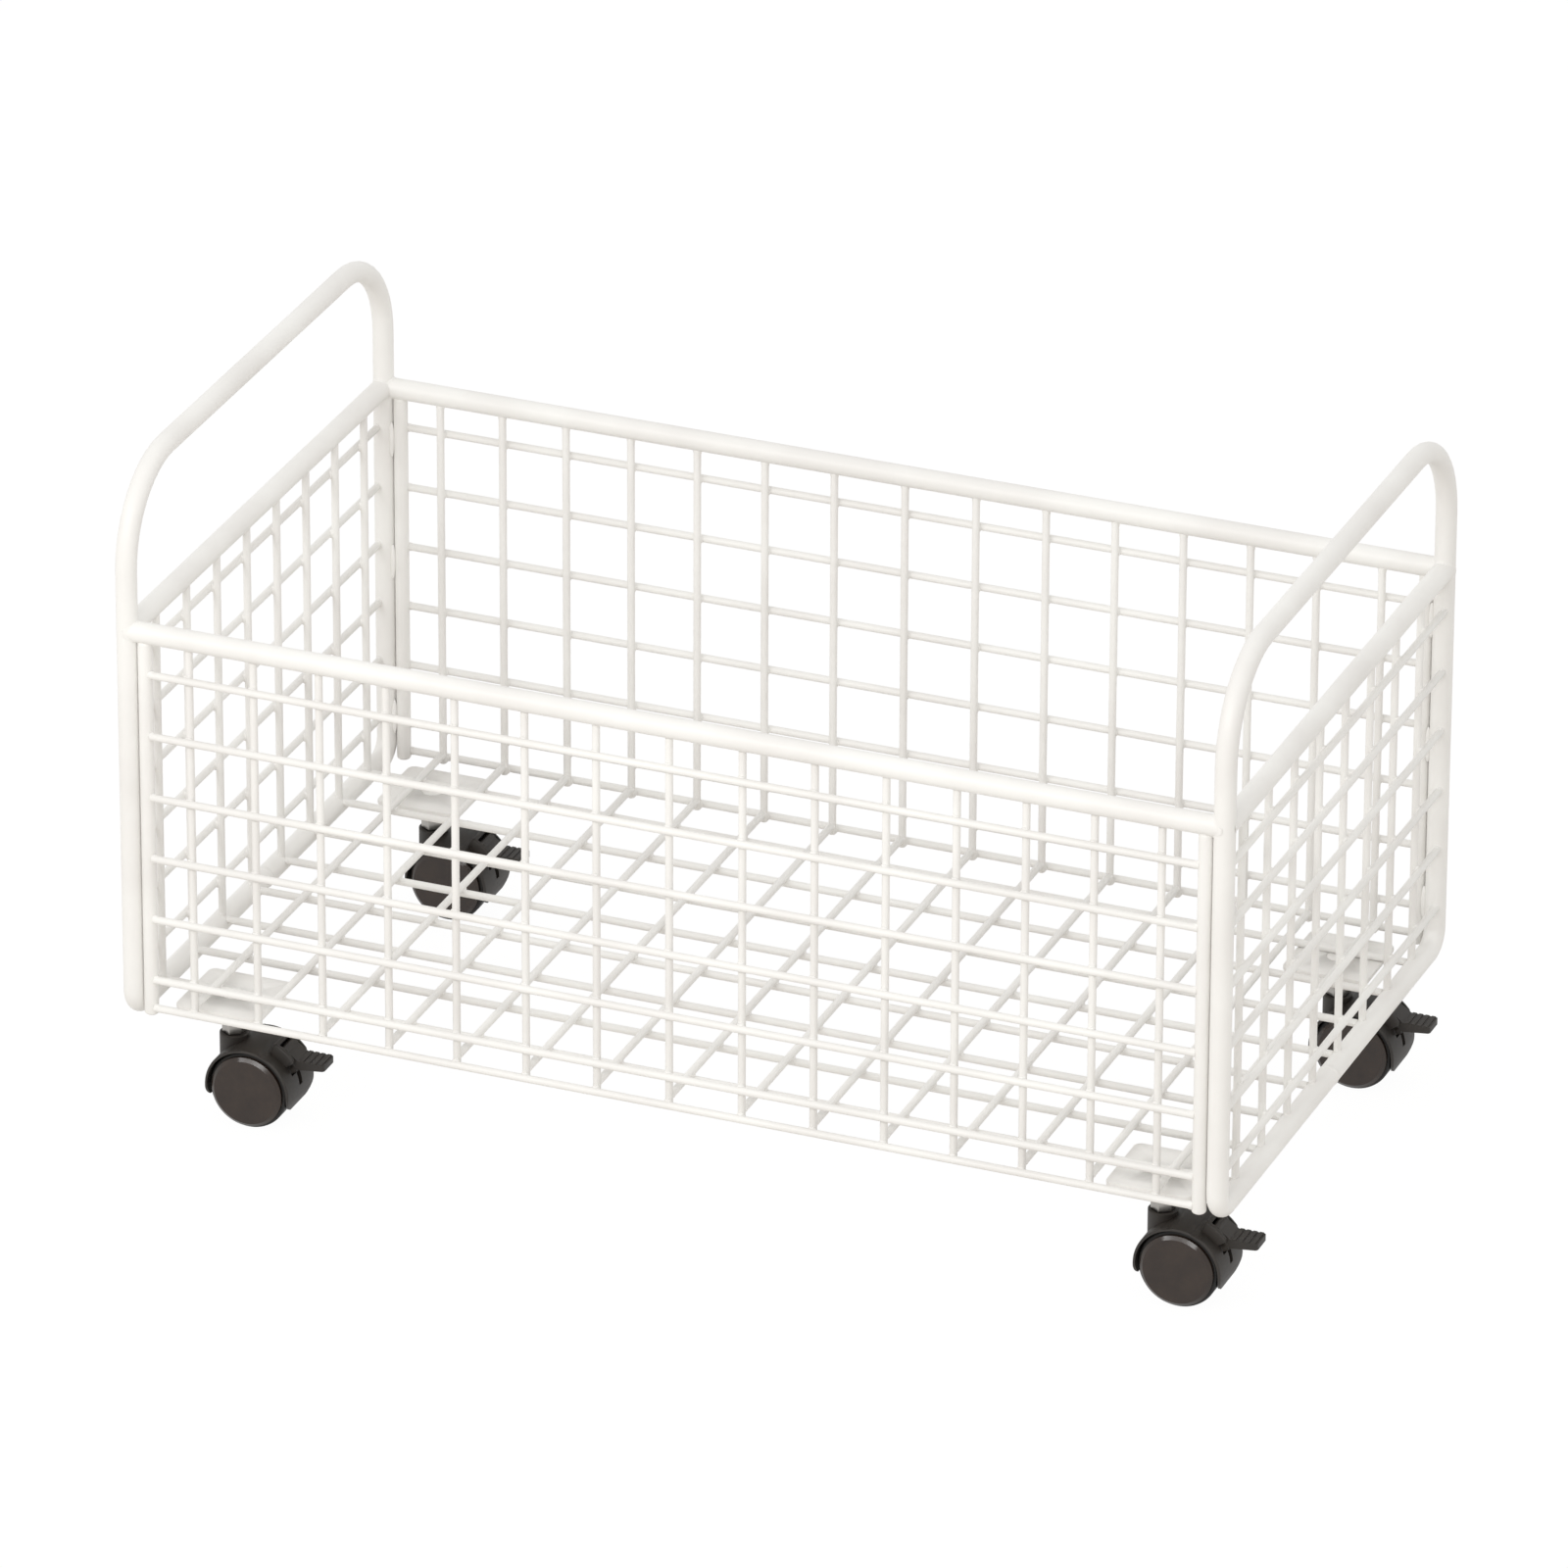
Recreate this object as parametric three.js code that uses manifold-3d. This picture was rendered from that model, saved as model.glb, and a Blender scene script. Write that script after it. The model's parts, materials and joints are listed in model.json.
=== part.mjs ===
// A mobile file cart: a long open wire basket on four twin-wheel casters with brake levers.
// Each end is a closed tube hoop whose top is a push handle. Straight rim tubes join the hoops' posts, and a
// thinner rod stands beside each post. Welded wire meshes fill the sides, the ends and the floor.
// Millimetres, +Z up, +X along the cart, front side towards -Y, origin on the floor under the middle.
import * as THREE from "three";
import { mergeVertices } from "three/addons/utils/BufferGeometryUtils.js";
import Module from "manifold-3d";

const wasm = await Module();
wasm.setup();

// Basket frame
const LENGTH = 585; // between the planes of the end hoops
const WIDTH = 320; // between the centre lines of a hoop's posts
const RAIL_Z = 66.5; // centre of the bottom rails
const RIM_Z = 278.5; // centre of the basket rim
const HANDLE_Z = 360; // centre of the handle bars
const TUBE_D = 11;
const TUBE_WALL = 1.2;
const HANDLE_BEND = 50; // radii of the bends, to the tube's centre line
const FOOT_BEND = 11;
const WELD_SEAM = 0.3; // gap where a hoop's two ends meet
const ROD_D = 7.5; // rods beside the posts
const ROD_ROUND = 1.5; // of a rod's foot
const ROD_DROP = 1.2; // how far a rod ends below the bottom rail's centre

// Wire mesh
const WIRE_D = 4;
const SIDE_BAYS = 14; // bays between the first and the last upright of a side
const BAY_TAPER = 0.667; // how much narrower each bay is than its neighbour nearer the middle
const EDGE_BAY = 23.25; // from a rod's centre to the nearest upright
const SIDE_TOP_BAY = 22; // from the rim's centre to the highest side wire
const SIDE_ROW_PITCH = 34.2;
const SIDE_ROWS = 6;
const BOTTOM_WIRE_RISE = 3; // of the lowest side wire above the bottom rail's centre
const END_UPRIGHTS = 8;
const END_UPRIGHT_PITCH = 37.05;
const END_TOP_BAY = 21.9;
const END_ROW_PITCH = 33.5;
const END_ROWS = 6;
const FLOOR_RISE = 2.5; // of the floor's long wires above the bottom rail's centre

// Caster plates and stems
const CASTER_INSET_X = 40.3; // from a hoop's plane to the stem
const CASTER_INSET_Y = 32.7; // from a post's centre line to the stem
const PLATE_SIZE = 46;
const PLATE_THICKNESS = 2.5;
const PLATE_CORNER = 4;
const STEM_D = 8; // between the plate and the collar
const STEM_HEAD_D = 12;
const STEM_HEAD = 1.2;
const COLLAR_D = 15; // of the hexagon, across its corners
const COLLAR = 8;
const PIN_D = 5; // of the stem inside the hood
const PIN_LENGTH = 18; // below the collar
const PIN_TIP_CHAMFER = 0.8;
const RING_DEPTH = 0.6; // of the ring groove in the pin
const RING_THICKNESS = 1.2;
const RING_REACH = 0.6; // of the grip ring beyond the pin
const RING_DROP = 3; // from the collar to the groove
const RING_SPLIT = 50; // degrees

// Wheels
const WHEEL_D = 42;
const WHEEL_TREAD_EDGE = 2.5; // chamfer of the outer edge
const WHEEL_INNER_EDGE = 1;
const WHEEL_FACE_Y = 17.5; // from the caster's middle plane
const WHEEL_WEB = 2; // face thickness over the axle's end
const TRAIL = 13.5; // from the stem to the axle
const AXLE_D = 5;

// Hood
const WHEEL_GAP = 0.9; // from the tread to the fender's inside
const FENDER = 1.4;
const FENDER_HALF = 16.5;
const FENDER_RIGHT = -20; // degrees, where the fender ends on the lever's side
const FENDER_LEFT = 194;
const WEB_HALF = 4.1;
const WHEEL_SIDE_GAP = 0.5; // from the web to a wheel
const HUB_D = 12;
const BOSS_D = 13;
const BOSS_RISE = 1.2; // of the boss over the wheels
const SPINE_RISE = 7.2; // of the spine over the fender
const SPINE_HALF = 9;
const SPINE_RIGHT = 36; // degrees
const SPINE_LEFT = 70;

// Brake lever
const PIVOT_RISE = 3; // of the lever's trunnions over the fender
const PIVOT_ANGLE = 51; // degrees
const LEVER_HALF = 6.5;
const LEVER_REACH = 39; // from the axle to the lever's tip
const LEVER_TIP_RISE = 16; // middle of the tip above the axle
const LEVER_TIP = 3.3; // thickness of the tip
const LEVER_ROOT = 5; // thickness where the pedal leaves the hood
const LEVER_HUB_D = 7;
const TRUNNION_D = 3.2;
const TRUNNION_END = 0.5; // short of the cheek's outer face
const SHOE_LOW = 26; // degrees, ends of the brake shoe's arc
const SHOE_HIGH = 42;
const SHOE_DEPTH = 3;
const SHOE_RISE = 1.65; // of the shoe's face over the fender's inside
const POCKET_LOW = 22; // degrees, lower end of the lever's pocket
const POCKET_SIDE_GAP = 0.5;
const SLIT_HALF = 1.8; // slit in the fender under the lever
const SLIT_LOW = 4; // degrees

const FIT = 0.3; // gap between neighbouring pieces
const TUBE_SIDES = 10;
const WHEEL_SIDES = 16;
const WELL_SIDES = 24;
const ARC_STEPS = 6;
const SMALL_SIDES = 8;
const HEX_SIDES = 6;
const BEND_STEPS = 4;
const FULL_TURN = 360; // degrees
const MERGE = 1e-4; // vertices closer than this are one

const WIRE = (WIRE_D * Math.sqrt(Math.PI)) / 2; // side of a square bar of the same section as the round wire
const LAYER = WIRE / 2; // from a mesh's middle plane, where the wires are welded, to each layer of wires
const TUBE_R = TUBE_D / 2;
const ROD_R = ROD_D / 2;
const ROD_X = LENGTH / 2 - TUBE_R - FIT - ROD_R;
const AXLE_Z = WHEEL_D / 2;
const PLATE_TOP = RAIL_Z + FLOOR_RISE - WIRE / 2 - FIT;
const PLATE_BOTTOM = PLATE_TOP - PLATE_THICKNESS;
const BOSS_TOP = WHEEL_D + BOSS_RISE;
const COLLAR_BOTTOM = BOSS_TOP + FIT;
const RING_TOP = COLLAR_BOTTOM - RING_DROP;
const WELL_R = WHEEL_D / 2 + WHEEL_GAP;
const FENDER_R = WELL_R + FENDER;
const SPINE_R = FENDER_R + SPINE_RISE;
const PIVOT_R = FENDER_R + PIVOT_RISE;

const radians = THREE.MathUtils.degToRad;

// Radius of a faceted bore whose flats clear a round pin.
function clear(pinR, sides) {
  return (pinR + FIT) / Math.cos(Math.PI / sides);
}

// Closed geometry to a solid, and a solid back to geometry.
function solid(geometry) {
  const bare = geometry.index ? geometry.toNonIndexed() : geometry.clone();
  bare.deleteAttribute("normal");
  bare.deleteAttribute("uv");
  const merged = mergeVertices(bare, MERGE);
  const vertProperties = merged.attributes.position.array;
  const triVerts = new Uint32Array(merged.index.array);
  return new wasm.Manifold(new wasm.Mesh({ numProp: 3, vertProperties, triVerts }));
}

function geometryOf(made) {
  const mesh = made.getMesh();
  const geometry = new THREE.BufferGeometry();
  geometry.setAttribute("position", new THREE.BufferAttribute(mesh.vertProperties, 3));
  geometry.setIndex(new THREE.BufferAttribute(mesh.triVerts, 1));
  return geometry;
}

// A tube's route as stations, each a point and the tangent there: rings sit only where they are needed.
class Route extends THREE.Curve {
  constructor(stations) {
    super();
    this.stations = stations;
  }
  station(u) {
    return this.stations[Math.round(u * (this.stations.length - 1))];
  }
  getPointAt(u) {
    return this.station(u).point.clone();
  }
  getTangentAt(u) {
    return this.station(u).tangent.clone();
  }
}

function station(point, tangent) {
  return { point, tangent: tangent.clone().normalize() };
}

// Stations round a bend that turns from one direction to another about a corner point.
function bend(corner, from, to, radius) {
  const centre = corner.clone().addScaledVector(from, -radius).addScaledVector(to, radius);
  return Array.from({ length: BEND_STEPS + 1 }, (_, i) => {
    const turn = (i / BEND_STEPS) * (Math.PI / 2);
    const point = centre.clone();
    point.addScaledVector(to, -radius * Math.cos(turn));
    point.addScaledVector(from, radius * Math.sin(turn));
    const tangent = from.clone().multiplyScalar(Math.cos(turn)).addScaledVector(to, Math.sin(turn));
    return station(point, tangent);
  });
}

function ringShape(outerR, innerR, sides) {
  const points = (r) =>
    Array.from({ length: sides }, (_, i) => {
      const turn = ((i + 0.5) / sides) * 2 * Math.PI;
      return new THREE.Vector2(r * Math.cos(turn), r * Math.sin(turn));
    });
  const shape = new THREE.Shape(points(outerR));
  shape.holes.push(new THREE.Path(points(innerR)));
  return shape;
}

function tube(stations) {
  return new THREE.ExtrudeGeometry(ringShape(TUBE_R, TUBE_R - TUBE_WALL, TUBE_SIDES), {
    steps: stations.length - 1,
    extrudePath: new Route(stations),
    bevelEnabled: false,
  });
}

const UP = new THREE.Vector3(0, 0, 1);
const DOWN = new THREE.Vector3(0, 0, -1);
const ALONG = new THREE.Vector3(1, 0, 0);
const BACK = new THREE.Vector3(0, 1, 0);
const FRONT = new THREE.Vector3(0, -1, 0);

// End hoop in the plane X = 0: from the weld seam in the bottom rail, once round, and back to the seam.
function endHoop() {
  const half = WIDTH / 2;
  const corner = (y, z) => new THREE.Vector3(0, y, z);
  return tube([
    station(corner(WELD_SEAM / 2, RAIL_Z), BACK),
    ...bend(corner(half, RAIL_Z), BACK, UP, FOOT_BEND),
    ...bend(corner(half, HANDLE_Z), UP, FRONT, HANDLE_BEND),
    ...bend(corner(-half, HANDLE_Z), FRONT, DOWN, HANDLE_BEND),
    ...bend(corner(-half, RAIL_Z), DOWN, BACK, FOOT_BEND),
    station(corner(-WELD_SEAM / 2, RAIL_Z), BACK),
  ]);
}

// Straight tube of the rim, butted at each end against a post; the posts' centre lines are a span apart.
function rimTube(span, direction) {
  const half = span / 2 - TUBE_R - FIT;
  const end = (side) => direction.clone().multiplyScalar(side * half).setZ(RIM_Z);
  return tube([station(end(-1), direction), station(end(1), direction)]);
}

// Rod from under the rim down beside a post, rounded at its foot.
function cornerRod() {
  const top = RIM_Z - TUBE_R - FIT;
  const foot = RAIL_Z - ROD_DROP;
  return lathe(
    [
      [0, foot],
      [ROD_R - ROD_ROUND, foot],
      [ROD_R, foot + ROD_ROUND],
      [ROD_R, top],
      [0, top],
    ],
    SMALL_SIDES,
  ).rotateX(Math.PI / 2);
}

// Solid of revolution about Y from [radius, height] pairs that start and end on the axis.
function lathe(profile, sides, start = 0) {
  const points = profile.map(([r, h]) => new THREE.Vector2(r, h));
  return new THREE.LatheGeometry(points, sides, start);
}

// One straight wire as a square bar between two points along an axis.
function wire(from, to) {
  const span = to.clone().sub(from);
  const size = (length) => Math.max(Math.abs(length), WIRE);
  const bar = new THREE.BoxGeometry(size(span.x), size(span.y), size(span.z));
  const middle = from.clone().addScaledVector(span, 0.5);
  return solid(bar.translate(middle.x, middle.y, middle.z));
}

function weld(wires) {
  return geometryOf(wires.reduce((mesh, next) => mesh.add(next)));
}

// Places of the side uprights, which the floor's cross wires share: the bays narrow towards the corners.
function uprightPlaces() {
  const half = SIDE_BAYS / 2;
  const reach = ROD_X - EDGE_BAY;
  const middleBay = (reach + (BAY_TAPER * half * (half - 1)) / 2) / half;
  return Array.from({ length: SIDE_BAYS + 1 }, (_, i) => {
    const k = i - half;
    const n = Math.abs(k);
    return Math.sign(k) * (n * middleBay - (BAY_TAPER * n * (n - 1)) / 2);
  });
}

function evenPlaces(count, pitch) {
  return Array.from({ length: count }, (_, i) => (i - (count - 1) / 2) * pitch);
}

function rowHeights(count, top, pitch) {
  return Array.from({ length: count }, (_, i) => RIM_Z - top - i * pitch);
}

// Side mesh in the plane Y = 0, outer side towards -Y: uprights inside, rows outside.
function panelMesh() {
  const low = RAIL_Z + BOTTOM_WIRE_RISE;
  const high = RIM_Z - TUBE_R - FIT;
  const half = ROD_X - ROD_R - FIT;
  const rows = [...rowHeights(SIDE_ROWS, SIDE_TOP_BAY, SIDE_ROW_PITCH), low];
  const uprights = uprightPlaces().map((x) =>
    wire(new THREE.Vector3(x, LAYER, low - WIRE / 2), new THREE.Vector3(x, LAYER, high)),
  );
  const bars = rows.map((z) =>
    wire(new THREE.Vector3(-half, -LAYER, z), new THREE.Vector3(half, -LAYER, z)),
  );
  return weld([...uprights, ...bars]);
}

// End mesh in the plane X = 0, outer side towards +X.
function endMesh() {
  const low = RAIL_Z + TUBE_R + FIT;
  const high = RIM_Z - TUBE_R - FIT;
  const half = WIDTH / 2 - TUBE_R - FIT;
  const uprights = evenPlaces(END_UPRIGHTS, END_UPRIGHT_PITCH).map((y) =>
    wire(new THREE.Vector3(-LAYER, y, low), new THREE.Vector3(-LAYER, y, high)),
  );
  const bars = rowHeights(END_ROWS, END_TOP_BAY, END_ROW_PITCH).map((z) =>
    wire(new THREE.Vector3(LAYER, -half, z), new THREE.Vector3(LAYER, half, z)),
  );
  return weld([...uprights, ...bars]);
}

// Floor mesh: long wires between the bottom rails, with cross wires on top that meet the side uprights.
function floorMesh() {
  const halfX = LENGTH / 2 - TUBE_R - FIT;
  const halfY = WIDTH / 2 - LAYER - WIRE / 2 - FIT;
  const longWires = evenPlaces(END_UPRIGHTS, END_UPRIGHT_PITCH).map((y) =>
    wire(new THREE.Vector3(-halfX, y, -LAYER), new THREE.Vector3(halfX, y, -LAYER)),
  );
  const crossWires = uprightPlaces().map((x) =>
    wire(new THREE.Vector3(x, -halfY, LAYER), new THREE.Vector3(x, halfY, LAYER)),
  );
  return weld([...longWires, ...crossWires]).translate(0, 0, RAIL_Z + FLOOR_RISE + LAYER);
}

// Upright cylinder between two heights.
function post(r, low, high, sides, x = 0, y = 0) {
  const made = new THREE.CylinderGeometry(r, r, high - low, sides);
  return made.rotateX(Math.PI / 2).translate(x, y, (low + high) / 2);
}

// A shape in the caster's side view, drawn from the axle, as a slab across the caster's middle plane.
function slab(shape, half) {
  const made = new THREE.ExtrudeGeometry(shape, {
    depth: 2 * half,
    bevelEnabled: false,
    curveSegments: ARC_STEPS,
  });
  return made.translate(0, 0, -half).rotateX(Math.PI / 2).translate(TRAIL, 0, AXLE_Z);
}

// Pin across the caster, at a place in the side view.
function crossPin(r, half, sides, [u, w] = [0, 0]) {
  return new THREE.CylinderGeometry(r, r, 2 * half, sides).translate(TRAIL + u, 0, AXLE_Z + w);
}

function sector(innerR, outerR, from, to) {
  const shape = new THREE.Shape();
  shape.absarc(0, 0, outerR, radians(from), radians(to), false);
  if (innerR > 0) {
    shape.absarc(0, 0, innerR, radians(to), radians(from), true);
  } else {
    shape.lineTo(0, 0);
  }
  shape.closePath();
  return shape;
}

function polar(r, angle) {
  return [r * Math.cos(radians(angle)), r * Math.sin(radians(angle))];
}

// Plate under the floor wires, with a counterbore that takes the stem's head.
function casterPlate() {
  const half = PLATE_SIZE / 2;
  const inner = half - PLATE_CORNER;
  const shape = new THREE.Shape();
  shape.absarc(inner, inner, PLATE_CORNER, 0, Math.PI / 2, false);
  shape.absarc(-inner, inner, PLATE_CORNER, Math.PI / 2, Math.PI, false);
  shape.absarc(-inner, -inner, PLATE_CORNER, Math.PI, 1.5 * Math.PI, false);
  shape.absarc(inner, -inner, PLATE_CORNER, 1.5 * Math.PI, 2 * Math.PI, false);
  const blank = new THREE.ExtrudeGeometry(shape, {
    depth: PLATE_THICKNESS,
    bevelEnabled: false,
    curveSegments: 2,
  });
  const boreR = clear(STEM_D / 2, SMALL_SIDES);
  const seatR = clear(STEM_HEAD_D / 2, SMALL_SIDES);
  const bore = post(boreR, PLATE_BOTTOM - FIT, PLATE_TOP + FIT, SMALL_SIDES);
  const seat = post(seatR, PLATE_TOP - STEM_HEAD - FIT, PLATE_TOP + FIT, SMALL_SIDES);
  const plate = solid(blank.translate(0, 0, PLATE_BOTTOM));
  return geometryOf(plate.subtract(solid(bore)).subtract(solid(seat)));
}

// Kingpin: head flush in the plate, hexagon on top of the hood, pin with the ring groove inside the hood.
function casterStem() {
  const r = PIN_D / 2;
  const tip = COLLAR_BOTTOM - PIN_LENGTH;
  const grooveLow = RING_TOP - RING_THICKNESS - 2 * FIT;
  const headLow = PLATE_TOP - STEM_HEAD;
  const collarTop = COLLAR_BOTTOM + COLLAR;
  const collarMiddle = COLLAR_BOTTOM + COLLAR / 2;
  const turned = lathe(
    [
      [0, tip],
      [r - PIN_TIP_CHAMFER, tip],
      [r, tip + PIN_TIP_CHAMFER],
      [r, grooveLow],
      [r - RING_DEPTH, grooveLow],
      [r - RING_DEPTH, RING_TOP],
      [r, RING_TOP],
      [r, collarMiddle],
      [STEM_D / 2, collarMiddle],
      [STEM_D / 2, headLow],
      [STEM_HEAD_D / 2, headLow],
      [STEM_HEAD_D / 2, PLATE_TOP],
      [0, PLATE_TOP],
    ],
    SMALL_SIDES,
  ).rotateX(Math.PI / 2);
  const hexagon = post(COLLAR_D / 2, COLLAR_BOTTOM, collarTop, HEX_SIDES);
  return geometryOf(solid(turned).add(solid(hexagon)));
}

// Split ring in the pin's groove, which keeps the hood from dropping off.
function gripRing() {
  const outerR = PIN_D / 2 + RING_REACH;
  const innerR = PIN_D / 2 - RING_DEPTH + FIT;
  const split = RING_SPLIT / 2;
  const ring = new THREE.ExtrudeGeometry(sector(innerR, outerR, split, FULL_TURN - split), {
    depth: RING_THICKNESS,
    bevelEnabled: false,
    curveSegments: ARC_STEPS,
  });
  return ring.translate(0, 0, RING_TOP - FIT - RING_THICKNESS);
}

// Hood: a fender over both wheels, a web between them, a spine, the stem's boss and the lever's pocket.
function casterHood() {
  const pivot = polar(PIVOT_R, PIVOT_ANGLE);
  const pocketHalf = LEVER_HALF + POCKET_SIDE_GAP;
  const pocketTurn = Math.asin((LEVER_HUB_D / 2 + POCKET_SIDE_GAP) / PIVOT_R);
  const pocketHigh = PIVOT_ANGLE + THREE.MathUtils.radToDeg(pocketTurn);
  const pinBottom = COLLAR_BOTTOM - PIN_LENGTH;
  const ringLow = RING_TOP - RING_THICKNESS - 2 * FIT;
  const ringR = clear(PIN_D / 2 + RING_REACH, SMALL_SIDES);
  const wellHalf = (WHEEL_FACE_Y - WEB_HALF) / 2 + FIT;
  const wellMiddle = WEB_HALF + wellHalf;
  const joined = [
    slab(sector(0, FENDER_R, FENDER_RIGHT, FENDER_LEFT), FENDER_HALF),
    slab(sector(FENDER_R - FENDER / 2, SPINE_R, SPINE_RIGHT, SPINE_LEFT), SPINE_HALF),
    post(BOSS_D / 2, AXLE_Z, BOSS_TOP, SMALL_SIDES),
  ];
  const wells = [-1, 1].map((side) =>
    crossPin(WELL_R, wellHalf, WELL_SIDES).translate(0, side * wellMiddle, 0),
  );
  const hub = crossPin(HUB_D / 2, WEB_HALF, SMALL_SIDES);
  const cuts = [
    crossPin(clear(AXLE_D / 2, SMALL_SIDES), SPINE_HALF, SMALL_SIDES),
    post(clear(PIN_D / 2, SMALL_SIDES), pinBottom - FIT, BOSS_TOP + FIT, SMALL_SIDES),
    post(ringR, ringLow, RING_TOP, SMALL_SIDES),
    slab(sector(WHEEL_D / 2, SPINE_R + FENDER, POCKET_LOW, pocketHigh), pocketHalf),
    slab(sector(WHEEL_D / 2, FENDER_R + FENDER, SLIT_LOW, PIVOT_ANGLE), SLIT_HALF),
    crossPin(clear(TRUNNION_D / 2, SMALL_SIDES), SPINE_HALF + FIT, SMALL_SIDES, pivot),
  ];
  const body = joined.map(solid).reduce((made, next) => made.add(next));
  const shell = wells.reduce((made, well) => made.subtract(solid(well)), body).add(solid(hub));
  return geometryOf(cuts.reduce((made, cut) => made.subtract(solid(cut)), shell));
}

// Pedal with a hub between the hood's cheeks, and a shoe that comes down on both treads when it is pressed.
function brakeLever() {
  const [u, w] = polar(PIVOT_R, PIVOT_ANGLE);
  const rootR = SPINE_R - FIT;
  const rootTop = polar(rootR, SPINE_RIGHT);
  const shoeR = WELL_R + SHOE_RISE;
  const outline = [
    [u, w + LEVER_HUB_D / 2],
    rootTop,
    [LEVER_REACH, LEVER_TIP_RISE + LEVER_TIP / 2],
    [LEVER_REACH, LEVER_TIP_RISE - LEVER_TIP / 2],
    [rootTop[0], rootTop[1] - LEVER_ROOT],
    polar(shoeR + SHOE_DEPTH, SHOE_LOW),
    polar(shoeR, SHOE_LOW),
    polar(shoeR, (SHOE_LOW + SHOE_HIGH) / 2),
    polar(shoeR, SHOE_HIGH),
    [u - LEVER_HUB_D / 2, w],
  ];
  const shape = new THREE.Shape(outline.map(([x, y]) => new THREE.Vector2(x, y)));
  const pedal = solid(slab(shape, LEVER_HALF));
  const hub = solid(crossPin(LEVER_HUB_D / 2, LEVER_HALF, SMALL_SIDES, [u, w]));
  const trunnion = solid(crossPin(TRUNNION_D / 2, SPINE_HALF - TRUNNION_END, SMALL_SIDES, [u, w]));
  return geometryOf(pedal.add(hub).add(trunnion));
}

function wheelAxle() {
  return crossPin(AXLE_D / 2, WHEEL_FACE_Y - WHEEL_WEB - FIT, SMALL_SIDES);
}

// Wheel on the +Y side of the web: a blind bore from inside, a chamfered tread edge and a plain face.
// The tread's flats touch the true radius, and one of them lies on the floor.
function casterWheel() {
  const halfStep = Math.PI / WHEEL_SIDES;
  const r = WHEEL_D / 2 / Math.cos(halfStep);
  const inner = WEB_HALF + WHEEL_SIDE_GAP;
  const boreR = clear(AXLE_D / 2, WHEEL_SIDES);
  return lathe(
    [
      [0, WHEEL_FACE_Y - WHEEL_WEB],
      [boreR, WHEEL_FACE_Y - WHEEL_WEB],
      [boreR, inner],
      [r - WHEEL_INNER_EDGE, inner],
      [r, inner + WHEEL_INNER_EDGE],
      [r, WHEEL_FACE_Y - WHEEL_TREAD_EDGE],
      [r - WHEEL_TREAD_EDGE, WHEEL_FACE_Y],
      [0, WHEEL_FACE_Y],
    ],
    WHEEL_SIDES,
    halfStep,
  );
}

// Finishes
function finish(color, roughness, metalness) {
  return new THREE.MeshStandardMaterial({ color, roughness, metalness });
}

const powderCoat = () => finish("#f2eeeb", 0.45, 0.1);
const zincSteel = () => finish("#b9bcbf", 0.35, 1);
const hoodNylon = () => finish("#33302e", 0.6, 0);
const wheelNylon = () => finish("#3a3634", 0.42, 0);

const cart = new THREE.Group();

function piece(parent, name, geometry, material) {
  const mesh = new THREE.Mesh(geometry, material);
  mesh.name = name;
  parent.add(mesh);
  return mesh;
}

// Both ends and both sides are one design turned half round.
for (const [name, x, turn] of [["right", LENGTH / 2, 0], ["left", -LENGTH / 2, Math.PI]]) {
  const end = new THREE.Group();
  end.position.x = x;
  end.rotation.z = turn;
  piece(end, `${name}_end_hoop`, endHoop(), powderCoat());
  piece(end, `${name}_rim_tube`, rimTube(WIDTH, BACK), powderCoat());
  piece(end, `${name}_end_mesh`, endMesh(), powderCoat());
  cart.add(end);
}

for (const [name, y, turn] of [["front", -WIDTH / 2, 0], ["back", WIDTH / 2, Math.PI]]) {
  const side = new THREE.Group();
  side.position.y = y;
  side.rotation.z = turn;
  piece(side, `${name}_rim_tube`, rimTube(LENGTH, ALONG), powderCoat());
  piece(side, `${name}_panel_mesh`, panelMesh(), powderCoat());
  cart.add(side);
}

piece(cart, "floor_mesh", floorMesh(), powderCoat());

for (const [row, sy] of [["front", -1], ["back", 1]]) {
  for (const [column, sx] of [["left", -1], ["right", 1]]) {
    const place = `${row}_${column}`;
    const rod = piece(cart, `${place}_corner_rod`, cornerRod(), powderCoat());
    rod.position.set(sx * ROD_X, (sy * WIDTH) / 2, 0);
    const caster = new THREE.Group();
    caster.position.set(sx * (LENGTH / 2 - CASTER_INSET_X), sy * (WIDTH / 2 - CASTER_INSET_Y), 0);
    piece(caster, `${place}_caster_plate`, casterPlate(), powderCoat());
    piece(caster, `${place}_caster_stem`, casterStem(), zincSteel());
    piece(caster, `${place}_grip_ring`, gripRing(), zincSteel());
    piece(caster, `${place}_caster_hood`, casterHood(), hoodNylon());
    piece(caster, `${place}_brake_lever`, brakeLever(), hoodNylon());
    piece(caster, `${place}_wheel_axle`, wheelAxle(), zincSteel());
    for (const [side, turn] of [["outer", sy < 0 ? Math.PI : 0], ["inner", sy < 0 ? 0 : Math.PI]]) {
      const wheel = piece(caster, `${place}_${side}_wheel`, casterWheel(), wheelNylon());
      wheel.rotation.z = turn;
      wheel.position.set(TRAIL, 0, AXLE_Z);
    }
    cart.add(caster);
  }
}

export default cart;
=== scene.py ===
# %% [markdown]
# A rolling file cart: a shallow basket of white wire between two bent tube hoops, whose tops are
# the handles, on four black twin-wheel casters with foot brakes.
# The solids already give every piece its place. This lesson rebuilds what is seen on top of them,
# with round tubes, round wires, welds and moulded casters, and keeps each piece on its own body.

# %% load the solids
import json
import math

import bmesh
import bpy
from mathutils import Matrix, Vector


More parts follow.
